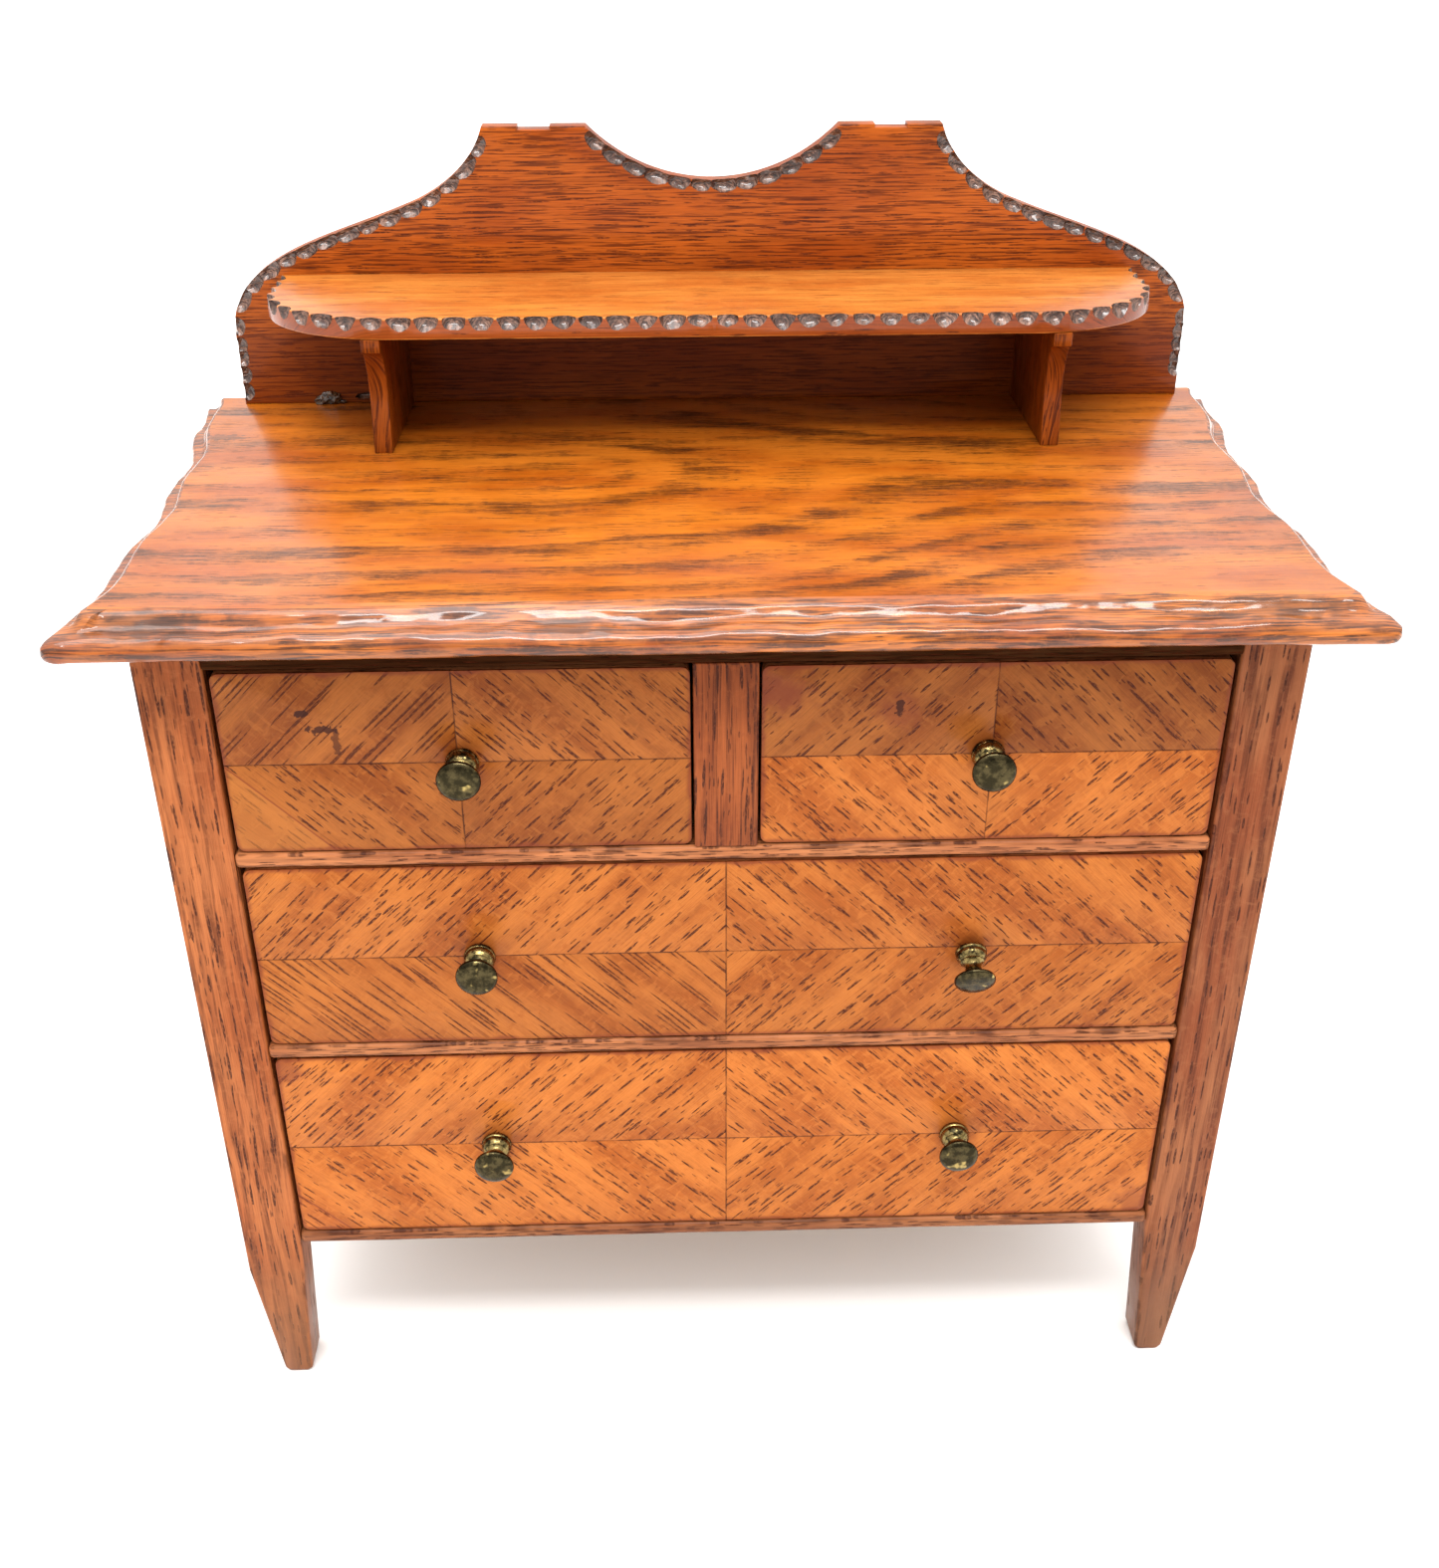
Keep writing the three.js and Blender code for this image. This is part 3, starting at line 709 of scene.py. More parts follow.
def build_gallery(material, cut_material):
    rise, flank, lug, dip = gallery_parts()
    depth = (GALLERY_LOW.y, GALLERY_HIGH.y)
    middle = (GALLERY_LOW.x + GALLERY_HIGH.x) / 2
    board = extruded(mirrored(rise + flank[1:] + lug + dip),
                     lambda a, b, s: (a * MM + middle, depth[s], b * MM), "gallery_carved",
                     [material, cut_material])
    cutters = []
    chance = random.Random(5)

    def gouge(place, tangent, width, tall):
        """A shallow dish across the front arris, centred outside the board."""
        out = Vector((-tangent.y, 0, tangent.x))
        centre = Vector((place.x * MM + middle, depth[0], place.y * MM))
        centre += (out - Vector((0, 1, 0))) * GOUGE_LIFT_MM * MM
        reach = math.hypot(tall + GOUGE_LIFT_MM, GOUGE_LIFT_MM) * MM
        along_edge = Vector((tangent.x, 0, tangent.y)) * width * MM
        cutters.append((centre, (along_edge, out * reach, Vector((0, reach, 0)))))

    def run(points, pitch, start, stop):
        for place, tangent in along(points, pitch, start, stop):
            size = chance.uniform(0.86, 1.08)
            gouge(place, tangent, 0.58 * pitch * size, GOUGE_TALL_MM * size)

    whole_dip = mirrored(dip)
    run(whole_dip, 7.0, 1.5, total(whole_dip) - 1.5)
    length = total(flank)
    run(flank, GOUGE_PITCH_MM, 8, length - 2)
    run([(-a, b) for a, b in reversed(flank)], GOUGE_PITCH_MM, 2, length - 8)
    for side, lowest, step in ((1, 283, 4.5), (-1, 280, 5)):
        for k in range(5):
            place = Vector((side * rise[0][0], lowest + step * k + chance.uniform(-1, 1)))
            gouge(place, Vector((0, side)), *SIDE_GOUGE_MM)
    nick = Vector((NICK_X_MM * MM, depth[0], (GALLERY_LOW.z / MM + 2.4) * MM))
    cutters.append((nick, (Vector((3.8, 0, 0.3)) * MM, Vector((0, 1.6, 0)) * MM,
                           Vector((-0.1, 0, 1.0)) * MM)))
    cut_scoops(board, cutters)
    stand_for(board, CASE, "oak_gallery", "gallery_backboard")


def build_glue(material):
    """Squeezed-out glue where the gallery meets the top, left of the bracket."""
    base = Vector((GLUE_X_MM * MM, GALLERY_LOW.y, GALLERY_LOW.z))
    chance = random.Random(3)
    bm = bmesh.new()
    for _ in range(GLUE_BLOBS):
        size = chance.uniform(0.5, 1.5)
        x = chance.gauss(0, 2.2)
        place = base + Vector((x, -0.3 * size, chance.uniform(0.3, 3.6) - 0.3 * abs(x))) * MM
        made = bmesh.ops.create_icosphere(bm, subdivisions=3, radius=size * MM)
        for vert in made["verts"]:
            uneven = 1 + 0.5 * noise.noise(vert.co / (0.8 * MM) + place * 900)
            vert.co = vert.co * uneven
            vert.co.x *= 1.4
            vert.co += place
            vert.co.z = max(vert.co.z, GALLERY_LOW.z)
    lump = finish_mesh("glue_lump", bm, [material])
    whole = lump.modifiers.new("whole", "REMESH")
    whole.mode = "VOXEL"
    whole.voxel_size = 0.25 * MM
    whole.use_smooth_shade = True
    piece_from(lump)
    stand_for(lump, CASE, "oak_gallery")


def build_shelf(material, rim, cut_material):
    half = SHELF_HIGH.x / MM
    front, back = SHELF_LOW.y / MM, SHELF_HIGH.y / MM
    wide, deep = SHELF_END_MM
    right = [(half, back)]
    for k in range(24, -1, -1):
        angle = math.pi / 2 * k / 24
        right.append((half - wide + wide * math.sin(angle), front + deep - deep * math.cos(angle)))
    outline = mirrored(right + [(0, front)])
    heights = (SHELF_LOW.z, SHELF_HIGH.z)
    board = extruded(outline, lambda a, b, s: (a * MM, b * MM, heights[s]), "shelf_carved",
                     [material, rim, cut_material], rim_material=1)
    chance = random.Random(8)
    cutters = []
    inward, down = (math.hypot(reach + SCOOP_LIFT_MM, SCOOP_LIFT_MM) for reach in SCOOP_MM)
    for place, tangent in along(outline, SCOOP_PITCH_MM, 1.0, total(outline) - 1.0):
        size = chance.uniform(0.93, 1.07) * MM
        outward = Vector((-tangent.y, tangent.x, 0))
        if outward.xy.dot(place - Vector((0, back))) < 0:
            outward = -outward
        centre = Vector((place.x, place.y, heights[1] / MM)) * MM
        centre += (outward + Vector((0, 0, 1))) * SCOOP_LIFT_MM * MM
        cutters.append((centre, (tangent.to_3d() * 0.49 * SCOOP_PITCH_MM * size,
                                 outward * inward * size, Vector((0, 0, 1)) * down * size)))
    cut_scoops(board, cutters)
    stand_for(board, CASE, "oak_shelf", "gallery_shelf")


# ---------------- drawers
VENEER_MM = 0.7
CORNER_MM = 2.2


def rounded_rectangle(x0, x1, z0, z1, radii):
    """Outline points; radii are for the corners low-left, low-right, high-right, high-left."""
    corners = ((x0, z0, 1, 1), (x1, z0, -1, 1), (x1, z1, -1, -1), (x0, z1, 1, -1))
    points = []
    for k, ((x, z, sx, sz), radius) in enumerate(zip(corners, radii)):
        if radius <= 0:
            points.append((x, z))
            continue
        start = math.pi + k * math.pi / 2
        for i in range(6):
            angle = start + math.pi / 2 * i / 5
            points.append((x + sx * radius + radius * math.cos(angle),
                           z + sz * radius + radius * math.sin(angle)))
    return points


def flat_board(name, outline_mm, y0, y1, material, ease_mm):
    depth = (y0, y1)
    return extruded(outline_mm, lambda a, b, s: (a * MM, depth[s], b * MM), name, [material],
                    ease_mm)


def build_front(label, looks):
    """A front: a core board, and four veneer leaves whose grain meets in a diamond."""
    body = f"drawer_{label}"
    low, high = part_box(f"{body}_front")
    x0, x1, z0, z1 = (v / MM for v in (low.x, high.x, low.z, high.z))
    face, back = low.y, high.y
    behind = face + VENEER_MM * MM
    core = flat_board(f"{body}_core", rounded_rectangle(x0, x1, z0, z1, (CORNER_MM,) * 4),
                      behind, back, looks["edge"], 0.3)
    stand_for(core, body, "oak_case", f"{body}_front")
    mid_x, mid_z = (x0 + x1) / 2, (z0 + z1) / 2
    for column, (a0, a1) in enumerate(((x0, mid_x), (mid_x, x1))):
        for row, (b0, b1) in enumerate(((z0, mid_z), (mid_z, z1))):
            radii = [0.0] * 4
            radii[3 - column if row else column] = CORNER_MM
            key = "lu"[row] + "lr"[column]
            leaf = flat_board(f"{body}_leaf_{key}", rounded_rectangle(a0, a1, b0, b1, radii),
                              face, behind, looks[key], 0.12)
            stand_for(leaf, body, "oak_veneer")


# (radius, distance behind the knob's face) in mm
KNOB_PROFILE = (
    (0.0, 0.0), (2.7, 0.02), (4.4, 0.25), (5.2, 0.6), (5.65, 0.95), (5.8, 1.35), (5.75, 1.8),
    (5.2, 2.15), (4.4, 2.55), (3.4, 3.1), (2.7, 3.8), (2.35, 4.7), (2.25, 5.6), (2.4, 6.4),
    (2.9, 7.0), (3.35, 7.3), (3.3, 7.6), (3.7, 8.0), (4.2, 8.7), (4.35, 9.4), (4.2, 10.1),
    (4.45, 10.4), (4.5, 10.8), (4.35, 11.3), (4.1, 11.5), (1.3, 11.5), (1.25, 17.5), (0.0, 17.5),
)
KNOB_SEGMENTS = 56
KNOB_SEAT_MM = 11.5            # from the knob's face back to the drawer front
SAG_MM = (0, -0.8, -0.7)       # how far a drooping knob has come out and dropped


def build_knob(node, body, material, droop_degrees, spin):
    low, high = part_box(node)
    centre = Vector(((low.x + high.x) / 2, low.y, (low.z + high.z) / 2))
    knob = turned(f"{node}_turned", KNOB_PROFILE, KNOB_SEGMENTS, material)
    knob.data.transform(Matrix.Rotation(spin, 4, "Y"))
    if droop_degrees:
        root = Matrix.Translation((0, -KNOB_SEAT_MM * MM, 0))
        lean = Matrix.Rotation(math.radians(droop_degrees), 4, "X")
        knob.data.transform(root.inverted() @ lean @ root)
        knob.data.transform(Matrix.Translation(Vector(SAG_MM) * MM))
    knob.data.transform(Matrix.Translation(centre))
    stand_for(knob, body, "brass", node)


# ---------------- brass and stains
# Where every knob's head ends and its neck begins, along Y
HEAD_BACK_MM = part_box("knob_top_left")[0].y / MM + 2.4


def brass_material():
    g = Graph("aged_brass_painted_reflection")
    p = g.millimetres()
    blot = g.noise(p, detail=4.0, roughness=0.6, scale=0.45)
    speck = g.noise(p, detail=3.0, scale=2.2)
    # The dark colours are partly old patina and partly a painted dark reflection on the head.
    colour = g.mix(g.step(blot, 0.4, 0.62), rgb(0.022, 0.018, 0.009), rgb(0.064, 0.050, 0.023))
    colour = g.mix(g.step(speck, 0.58, 0.72, 0.0, 0.6), colour, rgb(0.03, 0.024, 0.014))
    bare = g.step(g.noise(p, scale=0.25), 0.62, 0.72, 0.0, 0.8)
    colour = g.mix(bare, colour, rgb(0.42, 0.31, 0.11))
    # The neck and the collar are painted brighter, a painted reflection of bright surroundings that
    # the head does not get.
    neck_glint = g.step(g.split(p)[1], HEAD_BACK_MM, HEAD_BACK_MM + 1.5)
    colour = g.mix(g.times(neck_glint, g.step(blot, 0.38, 0.55)), colour, rgb(0.22, 0.16, 0.06))
    g.feed(g.shader.inputs["Base Color"], colour)
    g.shader.inputs["Metallic"].default_value = 1.0
    g.feed(g.shader.inputs["Roughness"], g.step(speck, 0.35, 0.7, 0.13, 0.3))
    g.feed(g.shader.inputs["Normal"], g.bump(g.plus(g.times(speck, 0.4), blot), 0.1 * MM))
    return g.material


# A stain paints over a colour. It takes a graph, the colour, the place in mm, and its own facts.
def spot(g, colour, p, place_mm, radius_mm, strength, tint, ragged=0.5, scale=0.25,
         border=(0.35, 1.1)):
    """A blot around a point, with a soft border."""
    shape = g.vector("DIVIDE", g.vector("SUBTRACT", p, place_mm), radius_mm)
    wobble = g.minus(g.noise(p, detail=3.0, scale=scale), 0.5)
    reach = g.plus(g.vector("LENGTH", shape), g.times(wobble, 2 * ragged))
    return g.mix(g.step(reach, *border, strength, 0.0), colour, tint)


def crisp_spot(g, colour, p, place_mm, radius_mm, strength, tint, ragged):
    return spot(g, colour, p, place_mm, radius_mm, strength, tint, ragged, 0.6, (0.6, 0.8))


def frame_stain(g, colour, p, low, high, width_mm, strength, tint):
    """Darker colour along the border of a board that stands in XZ."""
    x, _, z = g.split(p)
    across = g.math("MINIMUM", g.minus(x, low.x / MM), g.minus(high.x / MM, x))
    up = g.math("MINIMUM", g.minus(z, low.z / MM), g.minus(high.z / MM, z))
    wobble = g.noise(p, detail=3.0, scale=0.12)
    nearest = g.minus(g.math("MINIMUM", across, up), 1.2 * width_mm)
    reach = g.times_plus(wobble, 2.4 * width_mm, nearest)
    return g.mix(g.step(reach, 0.0, width_mm, strength, 0.0), colour, tint)


def corner_patch(g, colour, p, place_mm, across, strength, tint):
    """A paler strip of veneer past a slanting joint. across points from the joint to the strip."""
    away = g.vector("SUBTRACT", p, place_mm)
    side = g.split(g.vector("MULTIPLY", away, (across[0], 0, across[1])))
    depth = g.plus(side[0], side[2])
    patched = g.mix(g.step(depth, 0.0, 0.15, 0.0, strength), colour, tint)
    return g.mix(g.step(g.math("ABSOLUTE", depth), 0.1, 0.35, 0.75, 0.0), patched, RED_BROWN)


def seam_lines(g, colour, p, x_mm, z_mm):
    """Thin dark lines where the four leaves of a front meet."""
    x, _, z = g.split(p)
    nearest = g.math("MINIMUM", g.math("ABSOLUTE", g.minus(x, x_mm)),
                     g.math("ABSOLUTE", g.minus(z, z_mm)))
    broken = g.step(g.noise(p, scale=0.15), 0.35, 0.6, 0.2, 0.75)
    return g.mix(g.times(g.step(nearest, 0.1, 0.36, 1.0, 0.0), broken), colour, KNOT)


def darker_below(g, colour, p, height_mm, fade_mm, strength, tint):
    """Darker wood under a height: grimy feet on a post, and painted shade on the gallery under the
    shelf.
    """
    wobble = g.noise(p, detail=3.0, scale=0.05)
    height = g.times_plus(wobble, fade_mm, g.split(p)[2])
    low = height_mm - 0.5 * fade_mm
    return g.mix(g.step(height, low, low + 2 * fade_mm, strength, 0.0), colour, tint)


# ---------------- looks
RED_BROWN = rgb(0.16, 0.03, 0.01)
KNOT = rgb(0.035, 0.006, 0.002)
GRIME = rgb(0.035, 0.012, 0.004)


def top_field(g, u, v):
    """Nested arches around a heart left of the middle, which open to the left."""
    right = g.math("MAXIMUM", g.plus(u, 50), 0)
    left = g.math("MINIMUM", g.plus(u, 50), 0)
    heart_u = g.times_plus(left, 0.12, g.times(right, 0.62))
    heart = g.vector("LENGTH", g.join(heart_u, g.minus(v, 15)))
    far = g.vector("LENGTH", g.join(g.times(g.minus(u, 130), 0.5), g.minus(v, 120)))
    return g.math("SMOOTH_MIN", heart, g.minus(far, 60), 30)


TOP_OAK = Oak(
    light=rgb(0.41, 0.112, 0.008), middle=rgb(0.29, 0.062, 0.003), dark=rgb(0.075, 0.020, 0.002),
    pore=rgb(0.04, 0.010, 0.002), field=top_field, wander_mm=9.0,
    bands=((-9, 0.6, 6), (4, 0.6, 6), (15, 0.6, 6), (27, 1.0, 13), (46, 0.4, 7), (60, 1.0, 12),
           (76, 0.8, 8), (89, 0.9, 7), (99, 1.0, 8), (110, 0.9, 8)),
    ring_contrast=0.4, wisp_blur=0.06,
    dashes=((18.0, 0.7, 0.05, 0.3, 1.0), (9.0, 0.6, 0.04, 0.3, 0.9), (4.0, 0.5, 0.05, 0.3, 0.8)),
    dash_gain=0.75, wisps=(18.0, 0.45, 0.9), wisp_share=0.65, wisp_gain=0.2, coat=0.6,
    coat_roughness=0.2, bump_mm=0.03, swell_mm=0.12, specular=0.12, dirt=0.35, mottle=0.25,
    fibre=0.26,
    stains=((crisp_spot, (-152, 50, 275), (10, 4, 9), 0.55, GRIME, 1.2),),
)
GALLERY_OAK = Oak(
    light=rgb(0.34, 0.074, 0.006), middle=rgb(0.25, 0.045, 0.003), dark=rgb(0.075, 0.012, 0.001),
    pore=rgb(0.05, 0.008, 0.001), ring_mm=9.0, ring_contrast=0.15, wander_mm=5.0,
    dashes=((13.0, 1.5, 0.55, 0.2, 0.9), (6.0, 1.0, 0.2, 0.2, 0.8)), wisps=(20.0, 0.7, 0.8),
    wisp_share=0.5, wisp_blur=0.09, coat=0.12, fibre=0.22, coat_roughness=0.14, bump_mm=0.04,
    swell_mm=0.2,
)
SHELF_OAK = Oak(
    light=rgb(0.48, 0.166, 0.028), middle=rgb(0.39, 0.106, 0.015), dark=rgb(0.18, 0.038, 0.004),
    ring_mm=7.0, ring_contrast=0.2, dashes=((9.0, 1.3, 0.15, 0.2, 0.8),),
    wisps=(30.0, 0.5, 0.55), wisp_share=0.5, coat=0.5, coat_roughness=0.16, bump_mm=0.04,
    swell_mm=0.15, mottle=0.3, fibre=0.24,
)
CUT_OAK = Oak(
    light=rgb(0.20, 0.10, 0.065), middle=rgb(0.07, 0.03, 0.018), dark=rgb(0.012, 0.006, 0.004),
    ring_mm=2.1, ring_contrast=0.15, coat=1.0, coat_roughness=0.13, roughness=(0.25, 0.45),
    bump_mm=0.35, fibre=0.5, fibre_mm=3.0, swell_mm=2.4, swell_span=(1.5, 0.8), mottle=0.9,
    dashes=((2.4, 0.7, 0.5, 0.4, 0.9),), wisps=(2.2, 0.7, 0.8), wisp_share=0.46,
)
CASE_OAK = Oak(
    light=rgb(0.38, 0.118, 0.036), middle=rgb(0.28, 0.070, 0.018), dark=rgb(0.075, 0.016, 0.005),
    ring_mm=6.0, ring_contrast=0.3, dashes=((17.0, 2.6, 0.42, 0.2, 1.0), (5.0, 1.2, 0.1, 0.22, .7)),
    wisps=(38.0, 1.8, 0.6), wisp_share=0.5, mottle=0.35,
)
RAIL_OAK = Oak(
    light=rgb(0.42, 0.15, 0.055), middle=rgb(0.28, 0.085, 0.03), dark=rgb(0.09, 0.028, 0.012),
    ring_mm=2.2, dashes=((7.0, 0.8, 0.5, 0.3, 0.9),), wisps=(14.0, 0.8, 0.7), bump_mm=0.2,
)
VENEER_OAK = Oak(
    light=rgb(0.387, 0.116, 0.0205), middle=rgb(0.258, 0.062, 0.0080),
    dark=rgb(0.12, 0.022, 0.0034), pore=rgb(0.045, 0.007, 0.002), ring_mm=7.0,
    ring_contrast=0.2, wander_mm=4.0,
    dashes=((8.5, 2.4, 0.44, 0.18, 1.0), (3.4, 1.1, 0.12, 0.22, 0.8)), wisps=(16.0, 0.7, 0.5),
    wisp_share=0.57, rays=0.5, mottle=0.45, fibre=0.15, fibre_mm=7.0, dirt=0.3, swell_mm=0.3,
)
PLAIN_WOOD = Oak(
    light=rgb(0.36, 0.21, 0.105), middle=rgb(0.27, 0.15, 0.07), dark=rgb(0.14, 0.07, 0.03),
    pore=rgb(0.09, 0.045, 0.02), ring_mm=4.0, ring_contrast=0.4, dashes=((6, 1.2, 0.2, 0.2, 0.6),),
    coat=0.0, roughness=(0.6, 0.8), bump_mm=0.08,
)


def changed(look, **changes):
    copy = Oak(**look.__dict__)
    copy.__dict__.update(changes)
    return copy


def toned(look, tone):
    """The same look, lighter or darker. tone multiplies the three wood colours."""
    colours = {name: rgb(*(tone * c for c in getattr(look, name)[:3]))
               for name in ("light", "middle", "dark")}
    return changed(look, **colours)


MOULDING_OAK = changed(
    TOP_OAK, light=rgb(0.40, 0.112, 0.015), middle=rgb(0.22, 0.045, 0.006),
    dark=rgb(0.05, 0.012, 0.003), bands=None, ring_mm=4.5, ring_contrast=0.3,
    dashes=((14.0, 1.1, 0.3, 0.3, 0.9),), wisps=(26.0, 0.8, 0.85), wisp_share=0.5, wisp_gain=0.0,
    coat=0.8, coat_roughness=0.09, bump_mm=0.1, swell_mm=0.6, swell_span=(12, 3), dirt=0.5,
    specular=0.08, fibre=0.3,
    stains=((spot, (-141, -84, 272), (17, 6, 5), 0.7, GRIME, 1.2),
            (spot, (136, -84, 272), (18, 6, 5), 0.6, GRIME, 1.2),
            (spot, (-38, -86, 271), (12, 6, 3), 0.55, GRIME, 1.3)),
)
# Painted shade: the gallery is darkened below the shelf, where the shelf's shadow falls.
SHADED_GALLERY_OAK = changed(
    GALLERY_OAK, stains=((darker_below, 300, 8, 0.55, rgb(0.085, 0.013, 0.003)),))
SHELF_RIM_OAK = changed(
    SHELF_OAK, light=rgb(0.29, 0.062, 0.009), middle=rgb(0.20, 0.036, 0.005))
OLD_GLUE = changed(CUT_OAK, light=rgb(0.12, 0.065, 0.03), middle=rgb(0.045, 0.02, 0.01))
LEFT_POST_OAK = changed(
    CASE_OAK, stains=((darker_below, 40, 30, 0.6, rgb(0.155, 0.07, 0.032)),))
POST_OAK = {
    "left": LEFT_POST_OAK,
    "right": changed(
        LEFT_POST_OAK, light=rgb(0.26, 0.088, 0.033), middle=rgb(0.185, 0.046, 0.015),
        dashes=((9.0, 1.9, 0.25, 0.2, 1.0),), wisps=(60.0, 2.4, 0.75)),
}
DIVIDER_OAK = changed(CASE_OAK, light=rgb(0.28, 0.070, 0.017), middle=rgb(0.18, 0.038, 0.009),
                      wisps=(45.0, 1.1, 0.8))
RAIL_TONE = {"bottom": 0.66, "middle": 0.9, "upper": 1.0}
# Painted shade: the top front rail is near black and without shine, for the shadow under the top's
# nose.
TOP_RAIL_PAINTED_SHADE_OAK = changed(toned(RAIL_OAK, 0.1), coat=0.0, specular=0.0)
# What a veneer leaf with long, fine grain changes
LONG_GRAIN = {"dashes": ((22.0, 1.5, 0.55, 0.3, 0.9),), "wisps": (45.0, 1.6, 0.55)}


# ---------------- assembly
# Each drawer's tones are (lower leaves, upper leaves). The top drawers' darker tones, the top
# right's upper leaves most, are partly the veneers' own colour and partly painted shade under the
# top's overhang.
DRAWERS = {
    "top_left": {
        "knobs": ("knob_top_left",),
        "tone": (0.79, 0.80),
        "stains": ((crisp_spot, (-109, -73, 242), (2.6, 20, 1.6), 0.95, KNOT, 0.9),
                   (crisp_spot, (-104, -73, 237.5), (4.6, 20, 1.8), 0.9, KNOT, 1.3),
                   (crisp_spot, (-101, -73, 234), (1.6, 20, 5), 0.7, KNOT, 1.0)),
    },
    "top_right": {
        "knobs": ("knob_top_right",),
        "tone": (1.08, 0.70),
        "stains": ((spot, (45, -73, 241), (7, 20, 7), 0.5, RED_BROWN, 0.9),
                   (crisp_spot, (45, -73, 241.5), (1.5, 20, 3.4), 0.9, KNOT, 1.2),
                   (spot, (12, -73, 247), (12, 20, 9), 0.75, RED_BROWN, 0.8)),
    },
    "middle": {
        "knobs": ("knob_middle_left", "knob_middle_right"),
        "tone": (0.99, 0.99),
        "stains": (),
    },
    "bottom": {
        "knobs": ("knob_bottom_left", "knob_bottom_right"),
        "tone": (1.18, 1.22),
        "stains": ((spot, (-130, -73, 126), (9, 20, 7), 0.6, RED_BROWN, 0.8),
                   (spot, (128, -73, 66), (9, 20, 9), 0.5, RED_BROWN, 0.8)),
    },
}
LEAN = math.pi / 4             # the grain's slant, with its sign for each leaf
LEAVES = (("ll", -LEAN), ("lr", LEAN), ("ul", LEAN), ("ur", -LEAN))
FINE_GRAINED = ("middle_ll", "top_left_ul")
DOWN_LEFT = (-math.sqrt(0.5), -math.sqrt(0.5))
CORNER_STRIPS = {
    "top_left_ll": ((-105, 0, 201), DOWN_LEFT, 0.45, rgb(0.42, 0.145, 0.03)),
    "bottom_ll": ((-116, 0, 62), DOWN_LEFT, 0.25, rgb(0.30, 0.06, 0.01)),
}
DROOPS_DEGREES = {"knob_middle_right": 22.0}


def dress(node, material, bevel_mm=0.3):
    """A CAD node that keeps its shape, with eased edges and its own material."""
    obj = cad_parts[node]
    obj.data.materials.clear()
    obj.data.materials.append(material)
    ease = obj.modifiers.new("ease", "BEVEL")
    ease.width = bevel_mm * MM
    ease.segments = 2
    ease.limit_method = "ANGLE"


def build_upper():
    cut = oak_material("gouge_cut", CUT_OAK, GRAIN_X_UPRIGHT)
    on_top = (0, 0, -TOP_HIGH.z / MM)
    build_top(oak_material("oak_top_board", TOP_OAK, GRAIN_X_FLAT, on_top),
              oak_material("oak_top_moulding", MOULDING_OAK, GRAIN_X_FLAT, on_top))
    # The gallery board's material holds the painted shade under the shelf.
    build_gallery(oak_material("oak_gallery_board_painted_shade", SHADED_GALLERY_OAK, GRAIN_X_UPRIGHT), cut)
    build_shelf(oak_material("oak_shelf_board", SHELF_OAK, GRAIN_X_FLAT, (25, 60, 9)),
                oak_material("oak_shelf_rim", SHELF_RIM_OAK, GRAIN_X_FLAT, (25, 60, 9)), cut)
    build_glue(oak_material("old_glue", OLD_GLUE, GRAIN_X_UPRIGHT))
    # The brackets get a darker copy of the gallery oak: partly their own colour, partly painted
    # shade under the shelf.
    for k, side in enumerate(SIDES):
        look = oak_material(f"oak_bracket_painted_shade_{side}", toned(GALLERY_OAK, 0.72), GRAIN_Z_SIDE,
                            (20 * k, 15 * k, 3))
        eased_node(f"shelf_bracket_{side}", CASE, "oak_gallery", look, width_mm=0.4)


def build_case():
    for k, side in enumerate(SIDES):
        for j, place in enumerate(("front", "back")):
            node = f"post_{place}_{side}"
            look = oak_material(f"oak_{node}", POST_OAK[side], GRAIN_Z_FRONT,
                                (90 * k + 31 * j, 17 * k + 40 * j, 5))
            eased_node(node, CASE, "oak_case", look, width_mm=0.9, segments=3)
        node = f"side_panel_{side}"
        dress(node, oak_material(f"oak_{node}", CASE_OAK, GRAIN_Z_SIDE, (40, 70 * k, 0)), 0.2)
    plain_flat = oak_material("plain_runner", PLAIN_WOOD, GRAIN_Y_FLAT)
    for k, (level, tone) in enumerate(RAIL_TONE.items()):
        node = f"rail_{level}"
        look = oak_material(f"oak_{node}", toned(RAIL_OAK, tone), GRAIN_X_UPRIGHT,
                            (60 * k, 21 * k, 0))
        eased_node(node, CASE, "oak_case", look, width_mm=1.3, segments=3, uneven_mm=0.35)
        for side in SIDES:
            dress(f"runner_{level}_{side}", plain_flat)
            dress(f"guide_{level}_{side}", plain_flat)
    # Painted shade on the top front rail, under the top's nose.
    look = oak_material("oak_top_rail_painted_shade", TOP_RAIL_PAINTED_SHADE_OAK, GRAIN_X_UPRIGHT, (33, 90, 0))
    eased_node("top_front_rail", CASE, "oak_case", look, width_mm=0.6)
    look = oak_material("oak_divider", DIVIDER_OAK, GRAIN_Z_FRONT, (10, 120, 0))
    eased_node("centre_divider", CASE, "oak_case", look, width_mm=0.6)
    for node in ("centre_runner", "centre_guide"):
        dress(node, plain_flat)
    plain_across = oak_material("plain_across", PLAIN_WOOD, GRAIN_X_UPRIGHT, (0, 33, 0))
    for node in ("back_panel", "top_back_rail"):
        dress(node, plain_across)


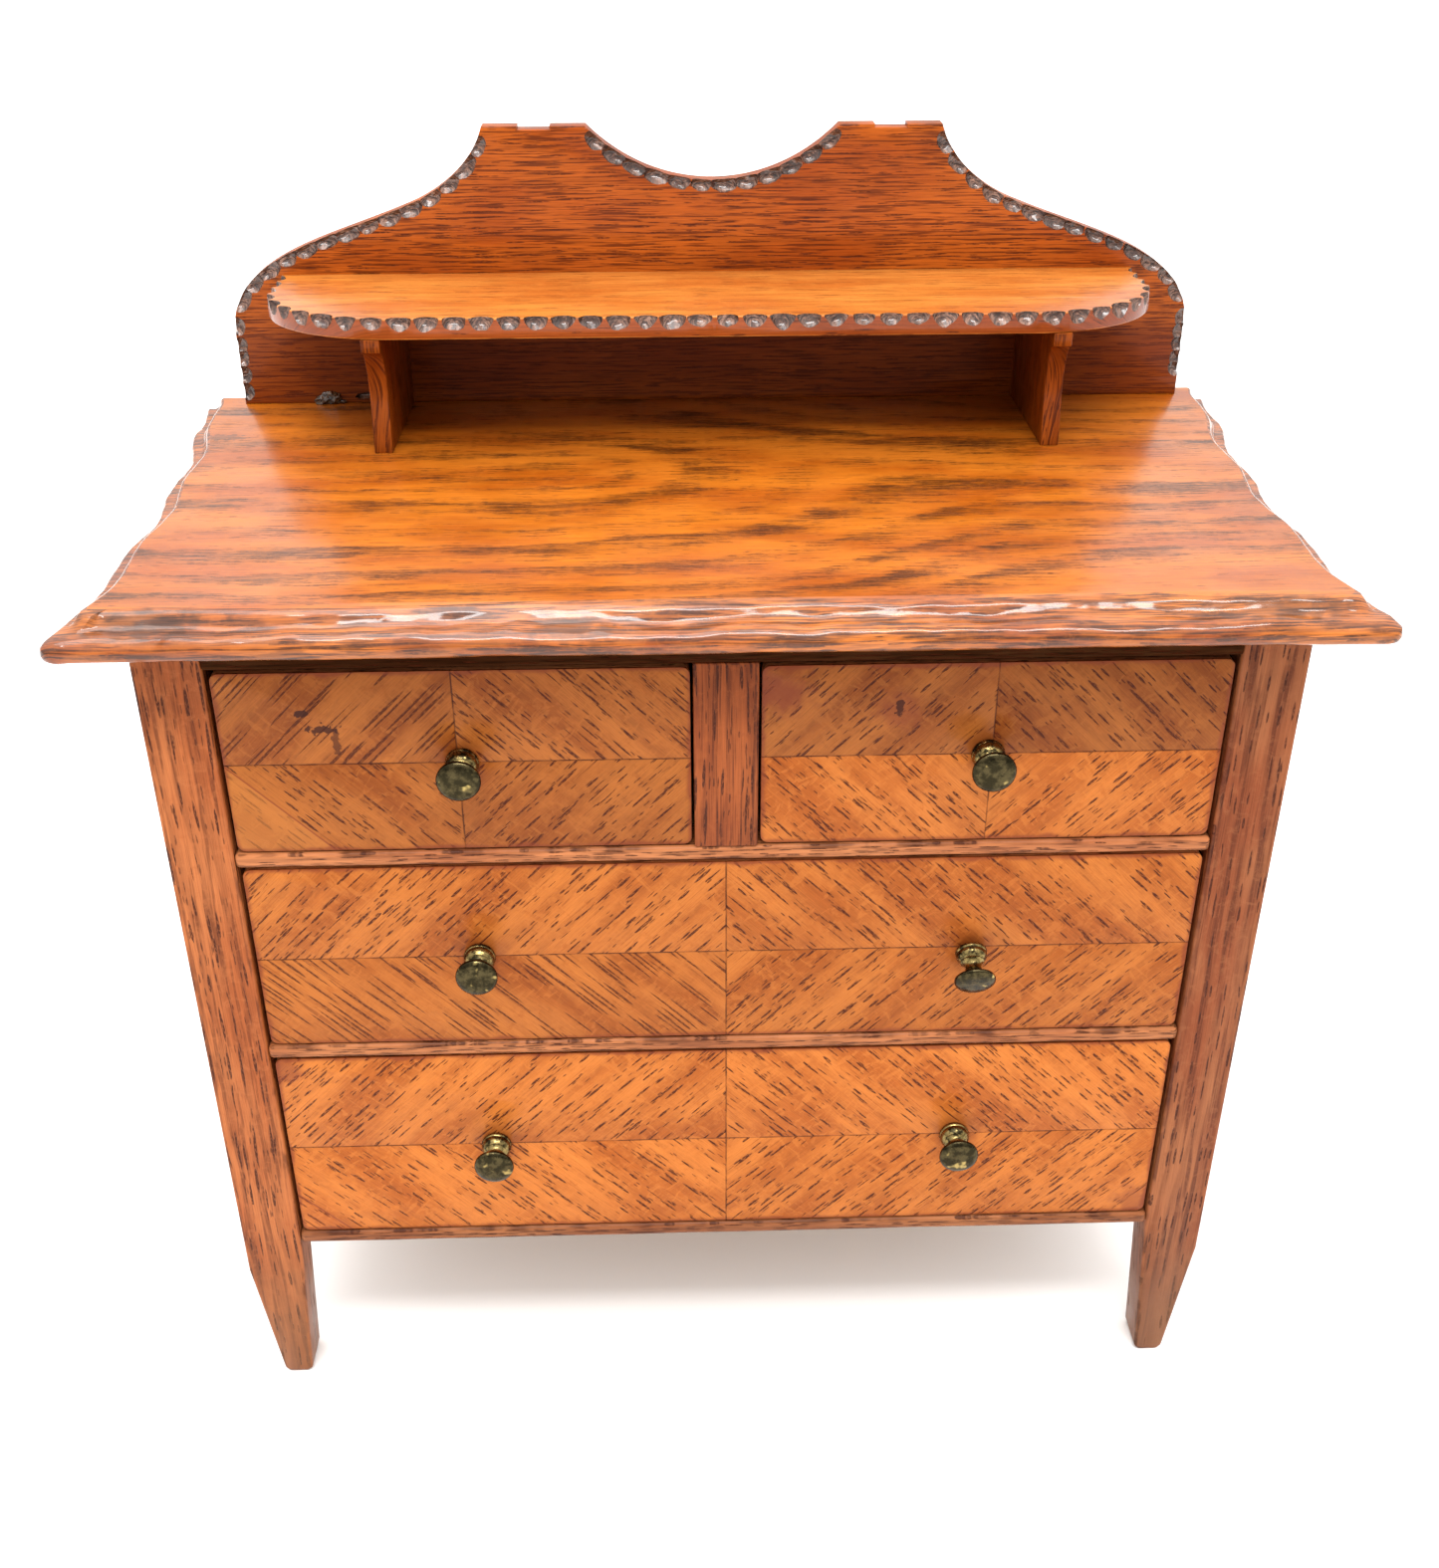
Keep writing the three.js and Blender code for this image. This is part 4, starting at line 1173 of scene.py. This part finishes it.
def veneer_look(name, tone, stains):
    look = changed(toned(VENEER_OAK, tone), stains=stains)
    if name in CORNER_STRIPS:
        look.stains = ((corner_patch, *CORNER_STRIPS[name]), *stains)
    if name in FINE_GRAINED:
        look = changed(look, **LONG_GRAIN)
    return look


def drawer_stains(facts, low, high):
    """A darker border around a front, grime around its knobs and along its joints, and the stains
    of its own.
    """
    found = [(frame_stain, low, high, 1.5, 0.75, RED_BROWN)]
    for knob in facts["knobs"]:
        centre = sum(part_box(knob), Vector()) / 2
        centre.y = low.y
        found.append((spot, tuple(centre / MM), (9, 20, 9), 0.4, RED_BROWN))
    found.append((seam_lines, (low.x + high.x) / 2 / MM, (low.z + high.z) / 2 / MM))
    return (*found, *facts["stains"])


def build_drawers():
    brass = brass_material()
    side_wood = oak_material("plain_drawer_side", PLAIN_WOOD, GRAIN_Y_SIDE, (0, 11, 0))
    woods = {
        "side_left": side_wood,
        "side_right": side_wood,
        "back": oak_material("plain_drawer_back", PLAIN_WOOD, GRAIN_X_UPRIGHT, (71, 0, 0)),
        "bottom": oak_material("plain_drawer_bottom", PLAIN_WOOD, GRAIN_X_FLAT, (0, 57, 0)),
    }
    looks = {"edge": oak_material("oak_front_edge", RAIL_OAK, GRAIN_X_UPRIGHT, (12, 44, 0))}
    for d, (label, facts) in enumerate(DRAWERS.items()):
        body = f"drawer_{label}"
        stains = drawer_stains(facts, *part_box(f"{body}_front"))
        for i, (key, slant) in enumerate(LEAVES):
            # The tones carry painted shade on the top drawers, under the top's overhang.
            tone = facts["tone"][key[0] == "u"] * (1 + 0.05 * math.sin(5.1 * i + 2.3 * d))
            name = f"{label}_{key}"
            offset = (37.0 * i + 61.0 * d, 23.0 * i + 19.0 * d, 7.0 * i)
            looks[key] = oak_material(f"veneer_{name}", veneer_look(name, tone, stains),
                                      (-math.pi / 2, 0, -slant), offset)
        build_front(label, looks)
        for part, wood in woods.items():
            dress(f"{body}_{part}", wood)
        for n, knob in enumerate(facts["knobs"]):
            build_knob(knob, body, brass, DROOPS_DEGREES.get(knob, 0.0), spin=0.7 * (d + n))


make_camera()
make_stage()
build_upper()
build_case()
build_drawers()
